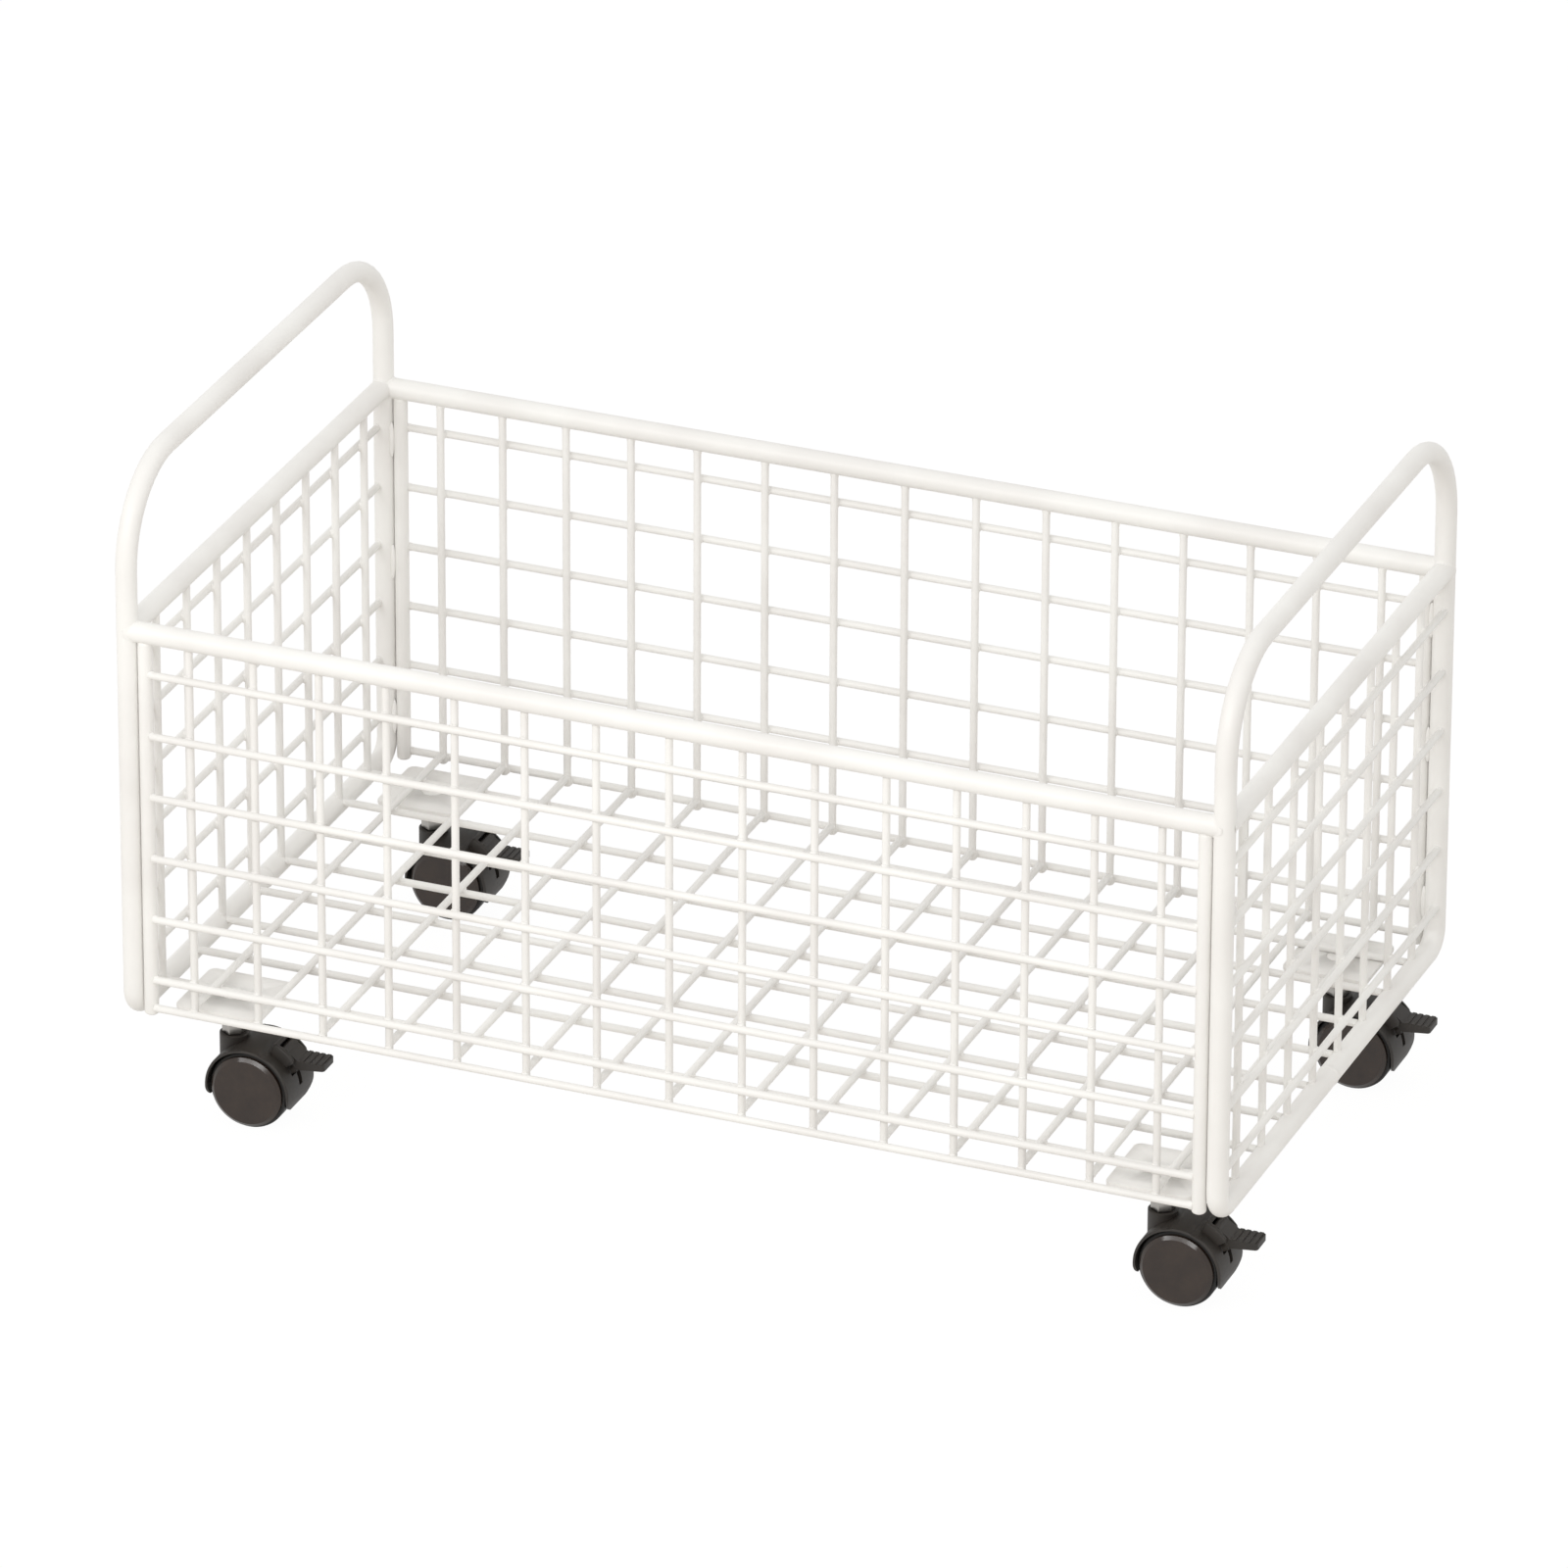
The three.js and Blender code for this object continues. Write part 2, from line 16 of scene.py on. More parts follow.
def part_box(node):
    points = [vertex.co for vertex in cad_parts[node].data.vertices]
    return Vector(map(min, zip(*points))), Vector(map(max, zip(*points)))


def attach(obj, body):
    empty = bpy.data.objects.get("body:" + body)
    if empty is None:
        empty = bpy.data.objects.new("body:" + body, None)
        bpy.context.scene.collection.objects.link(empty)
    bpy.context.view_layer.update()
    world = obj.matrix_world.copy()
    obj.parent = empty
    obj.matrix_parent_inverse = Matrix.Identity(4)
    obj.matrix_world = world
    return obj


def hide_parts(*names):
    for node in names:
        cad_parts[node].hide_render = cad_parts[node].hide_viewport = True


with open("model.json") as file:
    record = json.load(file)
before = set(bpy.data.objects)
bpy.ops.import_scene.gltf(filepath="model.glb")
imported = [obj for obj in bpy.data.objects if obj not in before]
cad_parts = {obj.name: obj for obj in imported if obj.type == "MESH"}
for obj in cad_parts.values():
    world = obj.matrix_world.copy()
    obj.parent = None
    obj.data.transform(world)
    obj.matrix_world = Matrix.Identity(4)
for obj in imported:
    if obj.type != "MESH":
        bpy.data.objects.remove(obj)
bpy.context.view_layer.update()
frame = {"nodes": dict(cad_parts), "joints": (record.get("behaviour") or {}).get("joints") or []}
MM = 0.001

# %% [markdown]
# The photograph was taken from far away with a long lens, a little to the right of the front and
# from above, so parallel tubes stay nearly parallel.
# A camera could be placed by eye. Here its angles, distance and lens come from measuring the
# corners of the basket, because a long lens shows every millimetre of error.

# %% camera
PICTURE = 1600
OPTICAL_CENTRE = 806.8
SENSOR = 36
LENS = 301.9
AZIMUTH = math.radians(21.907)
ELEVATION = math.radians(26.032)
ROLL = math.radians(0.248)
DISTANCE = 6.6417
AIM = Vector((0.0052, -0.0104, 0.1807))

bpy.ops.object.camera_add()
camera = bpy.context.object
camera.data.sensor_width = SENSOR
camera.data.lens = LENS
camera.data.shift_x = (PICTURE / 2 - OPTICAL_CENTRE) / PICTURE
camera.data.clip_end = 100
swing = Matrix.Rotation(AZIMUTH, 4, "Z") @ Matrix.Rotation(math.pi / 2 - ELEVATION, 4, "X")
camera.matrix_world = (
    Matrix.Translation(AIM) @ swing @ Matrix.Rotation(ROLL, 4, "Z") @ Matrix.Translation((0, 0, DISTANCE))
)
bpy.context.scene.camera = camera
bpy.context.scene.view_settings.view_transform = "Standard"
print("camera at", [round(value, 3) for value in camera.location])

# %% [markdown]
# Finishes are node materials. Two small helpers serve all of them: one turns the hex colour that a
# painter would name into the linear numbers that the shader adds up, and one adds a node with its
# settings and links, so that each finish below reads as a list of what it is made of.

# %% colour and node helpers
def linear(code):
    channels = [int(code[place : place + 2], 16) / 255 for place in (1, 3, 5)]
    return [c / 12.92 if c <= 0.04045 else ((c + 0.055) / 1.055) ** 2.4 for c in channels] + [1]


def add_node(tree, kind, settings, links):
    made = tree.nodes.new(kind)
    for name, value in settings.items():
        if str(name) in made.bl_rna.properties:
            setattr(made, name, value)
        else:
            made.inputs[name].default_value = value
    for name, socket in links.items():
        tree.links.new(socket, made.inputs[name])
    return made


def new_finish(name):
    finish = bpy.data.materials.new(name)
    finish.use_nodes = True
    finish.node_tree.nodes.clear()
    return finish, finish.node_tree


print("white", [round(value, 2) for value in linear("#ffffff")])

# %% [markdown]
# The floor and the far background are plain white paper.
# A floor lit until it is white would also burn out the white cart, so the paper gives the camera
# most of its white by itself and takes only the rest from the lamps. The cart still throws its
# shadow on it, and everything else sees plain paper.

# %% floor
FLOOR_SIZE = 60
PAPER_GLOW = 0.93
PAPER_WHITE = "#dad6d1"

bpy.ops.object.select_all(action="DESELECT")
bpy.ops.mesh.primitive_plane_add(size=FLOOR_SIZE)
floor = bpy.context.object
floor.name = "floor"
paper, tree = new_finish("white_paper")
ray = add_node(tree, "ShaderNodeLightPath", {}, {})
mirror = add_node(
    tree,
    "ShaderNodeMath",
    {"operation": "MAXIMUM"},
    {0: ray.outputs["Is Glossy Ray"], 1: ray.outputs["Is Transmission Ray"]},
)
seen = add_node(
    tree, "ShaderNodeMath", {"operation": "MAXIMUM"}, {0: ray.outputs["Is Camera Ray"], 1: mirror.outputs[0]}
)
share = add_node(
    tree, "ShaderNodeMath", {"operation": "MULTIPLY", 1: PAPER_GLOW}, {0: seen.outputs[0]}
)
matt = add_node(tree, "ShaderNodeBsdfDiffuse", {"Color": linear(PAPER_WHITE)}, {})
glow = add_node(tree, "ShaderNodeEmission", {"Color": linear("#ffffff"), "Strength": 1.04}, {})
both = add_node(
    tree, "ShaderNodeMixShader", {}, {0: share.outputs[0], 1: matt.outputs[0], 2: glow.outputs[0]}
)
add_node(tree, "ShaderNodeOutputMaterial", {}, {"Surface": both.outputs[0]})
floor.data.materials.append(paper)
print("floor", FLOOR_SIZE, "m across")

# %% [markdown]
# The light is a bright room with pale walls and a dimmer ceiling, so that upright tubes are lit from all
# sides, and one wide soft box above the front. It leaves the underside of each tube a shade darker and
# draws a bright arc on the rim of each wheel. The world gives the room's part, fading upwards.
# Rays that show the background directly or in a gloss see it white.

# %% light
WALLS, CEILING = 1.0, 0.75
ROOM_TINT = "#fffefc"
KEY_PLACE = Vector((-0.2, -1.76, 1.34))
KEY_AIM = Vector((0, 0, 0.2))
KEY_POWER = 17
KEY_WIDE, KEY_DEEP = 2.8, 0.24

world = bpy.data.worlds.new("bright_room")
world.use_nodes = True
world.node_tree.nodes.clear()
bpy.context.scene.world = world
tree = world.node_tree
ray = add_node(tree, "ShaderNodeLightPath", {}, {})
mirror = add_node(
    tree,
    "ShaderNodeMath",
    {"operation": "MAXIMUM"},
    {0: ray.outputs["Is Glossy Ray"], 1: ray.outputs["Is Transmission Ray"]},
)
seen = add_node(
    tree, "ShaderNodeMath", {"operation": "MAXIMUM"}, {0: ray.outputs["Is Camera Ray"], 1: mirror.outputs[0]}
)
way = add_node(tree, "ShaderNodeTexCoord", {}, {})
height = add_node(tree, "ShaderNodeSeparateXYZ", {}, {"Vector": way.outputs["Generated"]})
fade = add_node(
    tree, "ShaderNodeMapRange", {"To Min": WALLS, "To Max": CEILING}, {"Value": height.outputs["Z"]}
)
room = add_node(
    tree, "ShaderNodeBackground", {"Color": linear(ROOM_TINT)}, {"Strength": fade.outputs[0]}
)
white = add_node(tree, "ShaderNodeBackground", {"Color": linear("#ffffff"), "Strength": 1}, {})
both = add_node(
    tree, "ShaderNodeMixShader", {}, {0: seen.outputs[0], 1: room.outputs[0], 2: white.outputs[0]}
)
add_node(tree, "ShaderNodeOutputWorld", {}, {"Surface": both.outputs[0]})

bpy.ops.object.light_add(type="AREA", location=KEY_PLACE)
key = bpy.context.object
key.name = "soft_box"
key.data.energy = KEY_POWER
key.data.shape = "RECTANGLE"
key.data.size = KEY_WIDE
key.data.size_y = KEY_DEEP
key.rotation_euler = (KEY_AIM - KEY_PLACE).to_track_quat("-Z", "Y").to_euler()
print("lamp", KEY_POWER, "W at", list(KEY_PLACE))

# %% [markdown]
# Powder coat: polyester powder baked on steel. It is an off-white with a soft gloss, and it dries
# with a faint orange-peel ripple one or two millimetres across, which breaks up the highlights.
# Two near whites in slow patches keep it from looking like plastic, and handling leaves the gloss
# uneven.

# %% powder coat
PEEL_SIZE = 1.6
PATCH_SIZE = 60
SMEAR_SIZE = 9

powder_coat, tree = new_finish("powder_coated_steel")
where = add_node(tree, "ShaderNodeTexCoord", {}, {})
patch = add_node(
    tree, "ShaderNodeTexNoise", {"Scale": 1000 / PATCH_SIZE, "Detail": 3}, {"Vector": where.outputs["Object"]}
)
tone = add_node(tree, "ShaderNodeValToRGB", {}, {"Fac": patch.outputs["Fac"]})
tone.color_ramp.elements[0].position = 0.35
tone.color_ramp.elements[0].color = linear("#ebe9e6")
tone.color_ramp.elements[1].position = 0.65
tone.color_ramp.elements[1].color = linear("#f3f2ef")
smear = add_node(
    tree, "ShaderNodeTexNoise", {"Scale": 1000 / SMEAR_SIZE, "Detail": 4}, {"Vector": where.outputs["Object"]}
)
gloss = add_node(
    tree, "ShaderNodeMapRange", {"To Min": 0.34, "To Max": 0.5}, {"Value": smear.outputs["Fac"]}
)
peel = add_node(
    tree, "ShaderNodeTexNoise", {"Scale": 1000 / PEEL_SIZE, "Detail": 1}, {"Vector": where.outputs["Object"]}
)
ripple = add_node(
    tree, "ShaderNodeBump", {"Strength": 0.12, "Distance": 0.1 * MM}, {"Height": peel.outputs["Fac"]}
)
shader = add_node(
    tree,
    "ShaderNodeBsdfPrincipled",
    {"IOR": 1.5},
    {"Base Color": tone.outputs["Color"], "Roughness": gloss.outputs[0], "Normal": ripple.outputs[0]},
)
add_node(tree, "ShaderNodeOutputMaterial", {}, {"Surface": shader.outputs[0]})
print("finish", powder_coat.name)

# %% [markdown]
# The hoods and brake levers are moulded glass-filled nylon: nearly black, dull, with the fine
# spark-eroded grain of the mould, and a greyer bloom where dust settles.
# The grain of a real mould is about a tenth of a millimetre, too fine for the picture, so it is
# drawn four times as coarse.

# %% hood nylon
GRAIN_SIZE = 0.45
DUST_SIZE = 14

hood_nylon, tree = new_finish("moulded_black_nylon")
where = add_node(tree, "ShaderNodeTexCoord", {}, {})
dust = add_node(
    tree, "ShaderNodeTexNoise", {"Scale": 1000 / DUST_SIZE, "Detail": 5}, {"Vector": where.outputs["Object"]}
)
tone = add_node(tree, "ShaderNodeValToRGB", {}, {"Fac": dust.outputs["Fac"]})
tone.color_ramp.elements[0].position = 0.3
tone.color_ramp.elements[0].color = linear("#1c1712")
tone.color_ramp.elements[1].position = 0.75
tone.color_ramp.elements[1].color = linear("#2b251f")
gloss = add_node(
    tree, "ShaderNodeMapRange", {"To Min": 0.5, "To Max": 0.66}, {"Value": dust.outputs["Fac"]}
)
grain = add_node(
    tree, "ShaderNodeTexNoise", {"Scale": 1000 / GRAIN_SIZE, "Detail": 2}, {"Vector": where.outputs["Object"]}
)
texture = add_node(
    tree, "ShaderNodeBump", {"Strength": 0.35, "Distance": 0.05 * MM}, {"Height": grain.outputs["Fac"]}
)
shader = add_node(
    tree,
    "ShaderNodeBsdfPrincipled",
    {"IOR": 1.53},
    {"Base Color": tone.outputs["Color"], "Roughness": gloss.outputs[0], "Normal": texture.outputs[0]},
)
add_node(tree, "ShaderNodeOutputMaterial", {}, {"Surface": shader.outputs[0]})
print("finish", hood_nylon.name)

# %% [markdown]
# The wheels are plain nylon from a polished mould, so their faces are smoother than the hoods and
# take a clear highlight on the rounded edge. Their treads have rolled on floors: duller and greyer,
# with fine scuffs along the way they roll. The treads are also coloured nearly black, much darker
# than the faces. That colour is painted shade for the groove that lies in the fender's shade.

# %% wheel nylon
CLOUD_SIZE = 11
SCUFF_SIZE = 1.2


def wheel_finish(name, dark, pale, smooth, rough, relief):
    finish, tree = new_finish(name)
    where = add_node(tree, "ShaderNodeTexCoord", {}, {})
    cloud = add_node(
        tree, "ShaderNodeTexNoise", {"Scale": 1000 / CLOUD_SIZE, "Detail": 4}, {"Vector": where.outputs["Object"]}
    )
    tone = add_node(tree, "ShaderNodeValToRGB", {}, {"Fac": cloud.outputs["Fac"]})
    tone.color_ramp.elements[0].position = 0.35
    tone.color_ramp.elements[0].color = linear(dark)
    tone.color_ramp.elements[1].position = 0.7
    tone.color_ramp.elements[1].color = linear(pale)
    scuff = add_node(
        tree, "ShaderNodeTexNoise", {"Scale": 1000 / SCUFF_SIZE, "Detail": 3}, {"Vector": where.outputs["Object"]}
    )
    gloss = add_node(
        tree, "ShaderNodeMapRange", {"To Min": smooth, "To Max": rough}, {"Value": scuff.outputs["Fac"]}
    )
    bump = add_node(
        tree, "ShaderNodeBump", {"Strength": relief, "Distance": 0.05 * MM}, {"Height": scuff.outputs["Fac"]}
    )
    shader = add_node(
        tree,
        "ShaderNodeBsdfPrincipled",
        {"IOR": 1.47},
        {"Base Color": tone.outputs["Color"], "Roughness": gloss.outputs[0], "Normal": bump.outputs[0]},
    )
    add_node(tree, "ShaderNodeOutputMaterial", {}, {"Surface": shader.outputs[0]})
    return finish


face_nylon = wheel_finish("polished_wheel_nylon", "#281d16", "#32261d", 0.13, 0.2, 0.02)
# the tread's near-black colours are painted shade for the groove under the fender
shade_painted_tread = wheel_finish("scuffed_shade_painted_tread", "#0d0b0a", "#1d1a17", 0.5, 0.72, 0.5)
print("finishes", face_nylon.name, shade_painted_tread.name)

# %% [markdown]
# The kingpins, axles and grip rings are zinc-plated steel, a cool satin metal that clouds unevenly in
# the plating bath.

# %% zinc
BATH_CLOUD = 5

zinc_steel, tree = new_finish("zinc_plated_steel")
where = add_node(tree, "ShaderNodeTexCoord", {}, {})
cloud = add_node(
    tree, "ShaderNodeTexNoise", {"Scale": 1000 / BATH_CLOUD, "Detail": 5}, {"Vector": where.outputs["Object"]}
)
tone = add_node(tree, "ShaderNodeValToRGB", {}, {"Fac": cloud.outputs["Fac"]})
tone.color_ramp.elements[0].color = linear("#96938f")
tone.color_ramp.elements[1].color = linear("#b4b1ac")
gloss = add_node(
    tree, "ShaderNodeMapRange", {"To Min": 0.28, "To Max": 0.48}, {"Value": cloud.outputs["Fac"]}
)
shader = add_node(
    tree,
    "ShaderNodeBsdfPrincipled",
    {"Metallic": 1},
    {"Base Color": tone.outputs["Color"], "Roughness": gloss.outputs[0]},
)
add_node(tree, "ShaderNodeOutputMaterial", {}, {"Surface": shader.outputs[0]})
print("finish", zinc_steel.name)

# %% [markdown]
# Every piece is modelled the same way: add a primitive, put its place into its mesh, shape it in
# edit mode, close it. These helpers do the steps that never change, so that the cells below show
# only the shaping. Faces are picked by where their middle is and which way they look.

# %% modelling helpers
DOUBLES = 0.001 * MM
SMOOTH_UP_TO = math.radians(35)


def start_fresh():
    bpy.ops.object.select_all(action="DESELECT")


def open_mesh():
    bpy.ops.object.transform_apply(location=True, rotation=True, scale=True)
    bpy.ops.object.mode_set(mode="EDIT")
    bpy.ops.mesh.select_all(action="SELECT")


def pick_faces(wanted):
    bpy.ops.mesh.select_mode(type="FACE")
    bpy.ops.mesh.select_all(action="DESELECT")
    shape = bmesh.from_edit_mesh(bpy.context.object.data)
    found = [face for face in shape.faces if wanted(face.calc_center_median(), face.normal)]
    for face in found:
        face.select_set(True)
    bmesh.update_edit_mesh(bpy.context.object.data)
    return len(found)


def pick_edges(wanted):
    bpy.ops.mesh.select_mode(type="EDGE")
    bpy.ops.mesh.select_all(action="DESELECT")
    shape = bmesh.from_edit_mesh(bpy.context.object.data)
    found = [edge for edge in shape.edges if wanted(edge.verts[0].co, edge.verts[1].co)]
    for edge in found:
        edge.select_set(True)
    bmesh.update_edit_mesh(bpy.context.object.data)
    return len(found)


def close_mesh(name):
    bpy.ops.mesh.select_all(action="SELECT")
    bpy.ops.mesh.remove_doubles(threshold=DOUBLES)
    bpy.ops.mesh.normals_make_consistent(inside=False)
    bpy.ops.object.mode_set(mode="OBJECT")
    bpy.ops.object.shade_smooth_by_angle(angle=SMOOTH_UP_TO)
    bpy.context.object.name = name
    return bpy.context.object


def copy_of(piece, name, move):
    twin = piece.copy()
    twin.data = piece.data.copy()
    twin.data.transform(Matrix.Translation(move))
    twin.name = name
    bpy.context.scene.collection.objects.link(twin)
    return twin


def join(name, pieces):
    start_fresh()
    for piece in pieces:
        piece.select_set(True)
    bpy.context.view_layer.objects.active = pieces[0]
    bpy.ops.object.join()
    bpy.context.object.name = name
    return bpy.context.object


def dress(piece, finish, body, slot, *solids):
    piece.data.materials.clear()
    piece.data.materials.append(finish)
    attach(piece, body)
    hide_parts(*solids)
    print(piece.name, len(piece.data.polygons), "faces on", body)


print("helpers ready")

# %% [markdown]
# All the tubes are one 11 mm size. A tube could be a curve with a bevel, but a bender
# works in runs and bends, and so does this: a circle is extruded along a run, then spun about the
# bend's centre, and so on to the end. Without a window, spin turns against the usual sense, so the
# axis is given the other way round.

# %% bent tube
TUBE_SIDES = 24
STEPS_PER_BEND = 12


def bend_tube(name, stations, radius, closed):
    points = [Vector(point) for point, bend in stations]
    first_way = (points[1] - points[0]).normalized()
    start_fresh()
    bpy.ops.mesh.primitive_circle_add(
        vertices=TUBE_SIDES,
        radius=radius,
        fill_type="NOTHING" if closed else "NGON",
        location=points[0],
        rotation=first_way.to_track_quat("Z", "Y").to_euler(),
    )
    open_mesh()
    here = points[0]
    for before, (corner, bend), after in zip(points, stations[1:-1], points[2:]):
        corner = Vector(corner)
        way_in = (corner - before).normalized()
        way_out = (after - corner).normalized()
        angle = way_in.angle(way_out)
        reach = bend * math.tan(angle / 2)
        begin = corner - way_in * reach
        axis = way_out.cross(way_in).normalized()
        centre = begin + way_in.cross(axis) * bend
        bpy.ops.mesh.extrude_region_move(TRANSFORM_OT_translate={"value": begin - here})
        bpy.ops.mesh.spin(steps=STEPS_PER_BEND, angle=angle, center=centre, axis=axis)
        here = corner + way_out * reach
    bpy.ops.mesh.extrude_region_move(TRANSFORM_OT_translate={"value": points[-1] - here})
    return close_mesh(name)


print("tube bender ready")

# %% [markdown]
# Each end of the cart is one hoop: bottom rail, two posts and the handle in a single bent tube,
# closed by a butt weld under the basket. Its plane and its tube size come from the solid's box,
# and the weld is a low ring that the coating has rounded off.

# %% end hoops
RAIL_HEIGHT = 66.5 * MM
RIM_HEIGHT = 278.5 * MM
HANDLE_HEIGHT = 360 * MM
FOOT_BEND = 11 * MM
HANDLE_BEND = 50 * MM
SEAM_RISE = 0.35 * MM

post_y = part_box("back_rim_tube")[0].lerp(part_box("back_rim_tube")[1], 0.5).y
hoop_low, hoop_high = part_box("right_end_hoop")
hoop_x = (hoop_low.x + hoop_high.x) / 2
tube_r = (hoop_high.x - hoop_low.x) / 2


def end_hoop(name, x):
    hoop = bend_tube(
        name,
        [
            ((x, 0, RAIL_HEIGHT), 0),
            ((x, post_y, RAIL_HEIGHT), FOOT_BEND),
            ((x, post_y, HANDLE_HEIGHT), HANDLE_BEND),
            ((x, -post_y, HANDLE_HEIGHT), HANDLE_BEND),
            ((x, -post_y, RAIL_HEIGHT), FOOT_BEND),
            ((x, 0, RAIL_HEIGHT), 0),
        ],
        tube_r,
        True,
    )
    start_fresh()
    bpy.ops.mesh.primitive_torus_add(
        location=(x, 0, RAIL_HEIGHT),
        rotation=(math.pi / 2, 0, 0),
        major_segments=TUBE_SIDES,
        minor_segments=8,
        major_radius=tube_r - SEAM_RISE,
        minor_radius=2 * SEAM_RISE,
    )
    bpy.ops.transform.resize(value=(1, 3, 1), center_override=(x, 0, RAIL_HEIGHT))
    open_mesh()
    return join(name, [hoop, close_mesh("butt_weld")])


for side, x in (("left", -hoop_x), ("right", hoop_x)):
    dress(end_hoop(side + "_hoop", x), powder_coat, "basket", "white_powder_coat", side + "_end_hoop")

# %% [markdown]
# Four straight tubes make the rim. Each has its ends cut to fit the round posts and is welded to them
# all round. The saddle is made by running the tube into the post, and the weld is a ring round the
# tube that is pushed on where the post curves away from it.

# %% rim bars
BEAD = 0.8 * MM


def saddle_weld(post, way):
    mouth = post - way * tube_r
    start_fresh()
    bpy.ops.mesh.primitive_torus_add(
        location=mouth,
        rotation=way.to_track_quat("Z", "Y").to_euler(),
        major_segments=TUBE_SIDES,
        minor_segments=8,
        major_radius=tube_r - BEAD / 4,
        minor_radius=BEAD,
    )
    open_mesh()
    shape = bmesh.from_edit_mesh(bpy.context.object.data)
    across = way.cross(Vector((0, 0, 1)))
    for corner in shape.verts:
        aside = min(abs((corner.co - mouth).dot(across)), tube_r)
        corner.co += way * (tube_r - math.sqrt(tube_r**2 - aside**2))
    bmesh.update_edit_mesh(bpy.context.object.data)
    return close_mesh("saddle_weld")


def rim_bar(name, begin, end):
    way = (end - begin).normalized()
    bar = bend_tube(name, [(begin, 0), (end, 0)], tube_r, False)
    return join(name, [bar, saddle_weld(begin, -way), saddle_weld(end, way)])


front_left = Vector((-hoop_x, -post_y, RIM_HEIGHT))
front_right = Vector((hoop_x, -post_y, RIM_HEIGHT))
back_left = Vector((-hoop_x, post_y, RIM_HEIGHT))
back_right = Vector((hoop_x, post_y, RIM_HEIGHT))
for side, begin, end in (
    ("front", front_left, front_right),
    ("back", back_left, back_right),
    ("left", front_left, back_left),
    ("right", front_right, back_right),
):
    dress(rim_bar(side + "_rim_bar", begin, end), powder_coat, "basket", "white_powder_coat", side + "_rim_tube")

# %% [markdown]
# A thinner solid rod stands beside each post, from under the rim to the lowest wire, and carries the
# ends of the side wires. Rods and wires are the same kind of thing: a cylinder whose end faces are
# bevelled round. Short stitch welds in the groove hold rod and post together; they sit on the inner
# side, where they don't show.

# %% corner rods
PLACES = [end + "_" + side for end in ("front", "back") for side in ("left", "right")]
ROD_SIDES = 24
ROD_ROUND = 1.6 * MM
BITE = 1.3 * MM
STITCH_LENGTH = 20 * MM
STITCH_WIDTH = 3 * MM
STITCH_DEPTH = 2.6 * MM
STITCH_HEIGHTS = (90 * MM, 180 * MM, 250 * MM)

rod_low, rod_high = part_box("back_right_corner_rod")
rod_x = (rod_low.x + rod_high.x) / 2
rod_r = (rod_high.x - rod_low.x) / 2


def round_rod(name, begin, end, r, sides, rounding, steps):
    begin, end = Vector(begin), Vector(end)
    way = (end - begin).normalized()
    start_fresh()
    bpy.ops.mesh.primitive_cylinder_add(
        vertices=sides,
        radius=r,
        depth=(end - begin).length,
        location=(begin + end) / 2,
        rotation=way.to_track_quat("Z", "Y").to_euler(),
    )
    open_mesh()
    pick_faces(lambda middle, normal: abs(normal.dot(way)) > 0.9)
    bpy.ops.mesh.bevel(offset=rounding, segments=steps)
    return close_mesh(name)


def stitch_weld(at):
    start_fresh()
    bpy.ops.mesh.primitive_uv_sphere_add(segments=12, ring_count=8, radius=STITCH_WIDTH / 2, location=at)
    bpy.ops.transform.resize(value=(1, 1, STITCH_LENGTH / STITCH_WIDTH), center_override=at)
    open_mesh()
    return close_mesh("stitch_weld")


def corner_rod(name, x, y):
    top = RIM_HEIGHT - tube_r + BITE
    rod = round_rod(name, (x, y, rod_low.z), (x, y, top), rod_r, ROD_SIDES, ROD_ROUND, 4)
    groove_x = math.copysign(hoop_x - tube_r, x)
    groove_y = y - math.copysign(STITCH_DEPTH, y)
    welds = [stitch_weld(Vector((groove_x, groove_y, height))) for height in STITCH_HEIGHTS]
    return join(name, [rod, *welds])


for place in PLACES:
    x = rod_x if place.endswith("right") else -rod_x
    y = post_y if place.startswith("back") else -post_y
    rod = corner_rod(place + "_rod", x, y)
    dress(rod, powder_coat, "basket", "white_powder_coat", place + "_corner_rod")

# %% [markdown]
# The basket walls and floor are 4 mm wires, spot-welded where they cross. A welder presses the two
# layers into each other, so their centre lines are closer than a wire's thickness, and a little
# metal is squeezed out at each crossing.
# One wire is a thin rod and one weld drop a flattened ball; both are then copied along the row, as the
# welding machine feeds them.

# %% wires and weld drops
WIRE_R = 2 * MM
WIRE_SIDES = 12
LAYER = 1.772 * MM
DROP_WIDTH = 2.7 * MM
DROP_FLAT = 0.62
END_DROP = 2.5 * MM


def one_wire(begin, end):
    return round_rod("wire", begin, end, WIRE_R, WIRE_SIDES, WIRE_R / 4, 2)


def one_drop(at, width, flat_axis):
    start_fresh()
    bpy.ops.mesh.primitive_uv_sphere_add(segments=8, ring_count=5, radius=width, location=at)
    squeeze = [1 - abs(part) * (1 - DROP_FLAT) for part in flat_axis]
    bpy.ops.transform.resize(value=squeeze, center_override=at)
    open_mesh()
    return close_mesh("drop")


def row_of(first, way, places):
    moves = [Vector(way) * (place - places[0]) for place in places]
    return [first] + [copy_of(first, first.name, move) for move in moves[1:]]


def drops_at(points, width, flat_axis):
    points = [Vector(point) for point in points]
    first = one_drop(points[0], width, flat_axis)
    return [first] + [copy_of(first, "drop", point - points[0]) for point in points[1:]]


print("wire and weld ready")

# %% [markdown]
# On the long sides the uprights stand a little closer towards the ends. The rule is one bay width
# in the middle that shrinks by a fixed amount from bay to bay, so that the outermost upright keeps
# its distance from the rod.

# %% wire places
SIDE_BAYS = 14
BAY_TAPER = 0.667 * MM
EDGE_BAY = 23.25 * MM
ROW_COUNT = 6
SIDE_TOP_BAY = 22 * MM
SIDE_ROW_PITCH = 34.2 * MM
BOTTOM_WIRE_HEIGHT = 69.5 * MM
END_UPRIGHTS = 8
END_UPRIGHT_PITCH = 37.05 * MM
END_TOP_BAY = 21.9 * MM
END_ROW_PITCH = 33.5 * MM


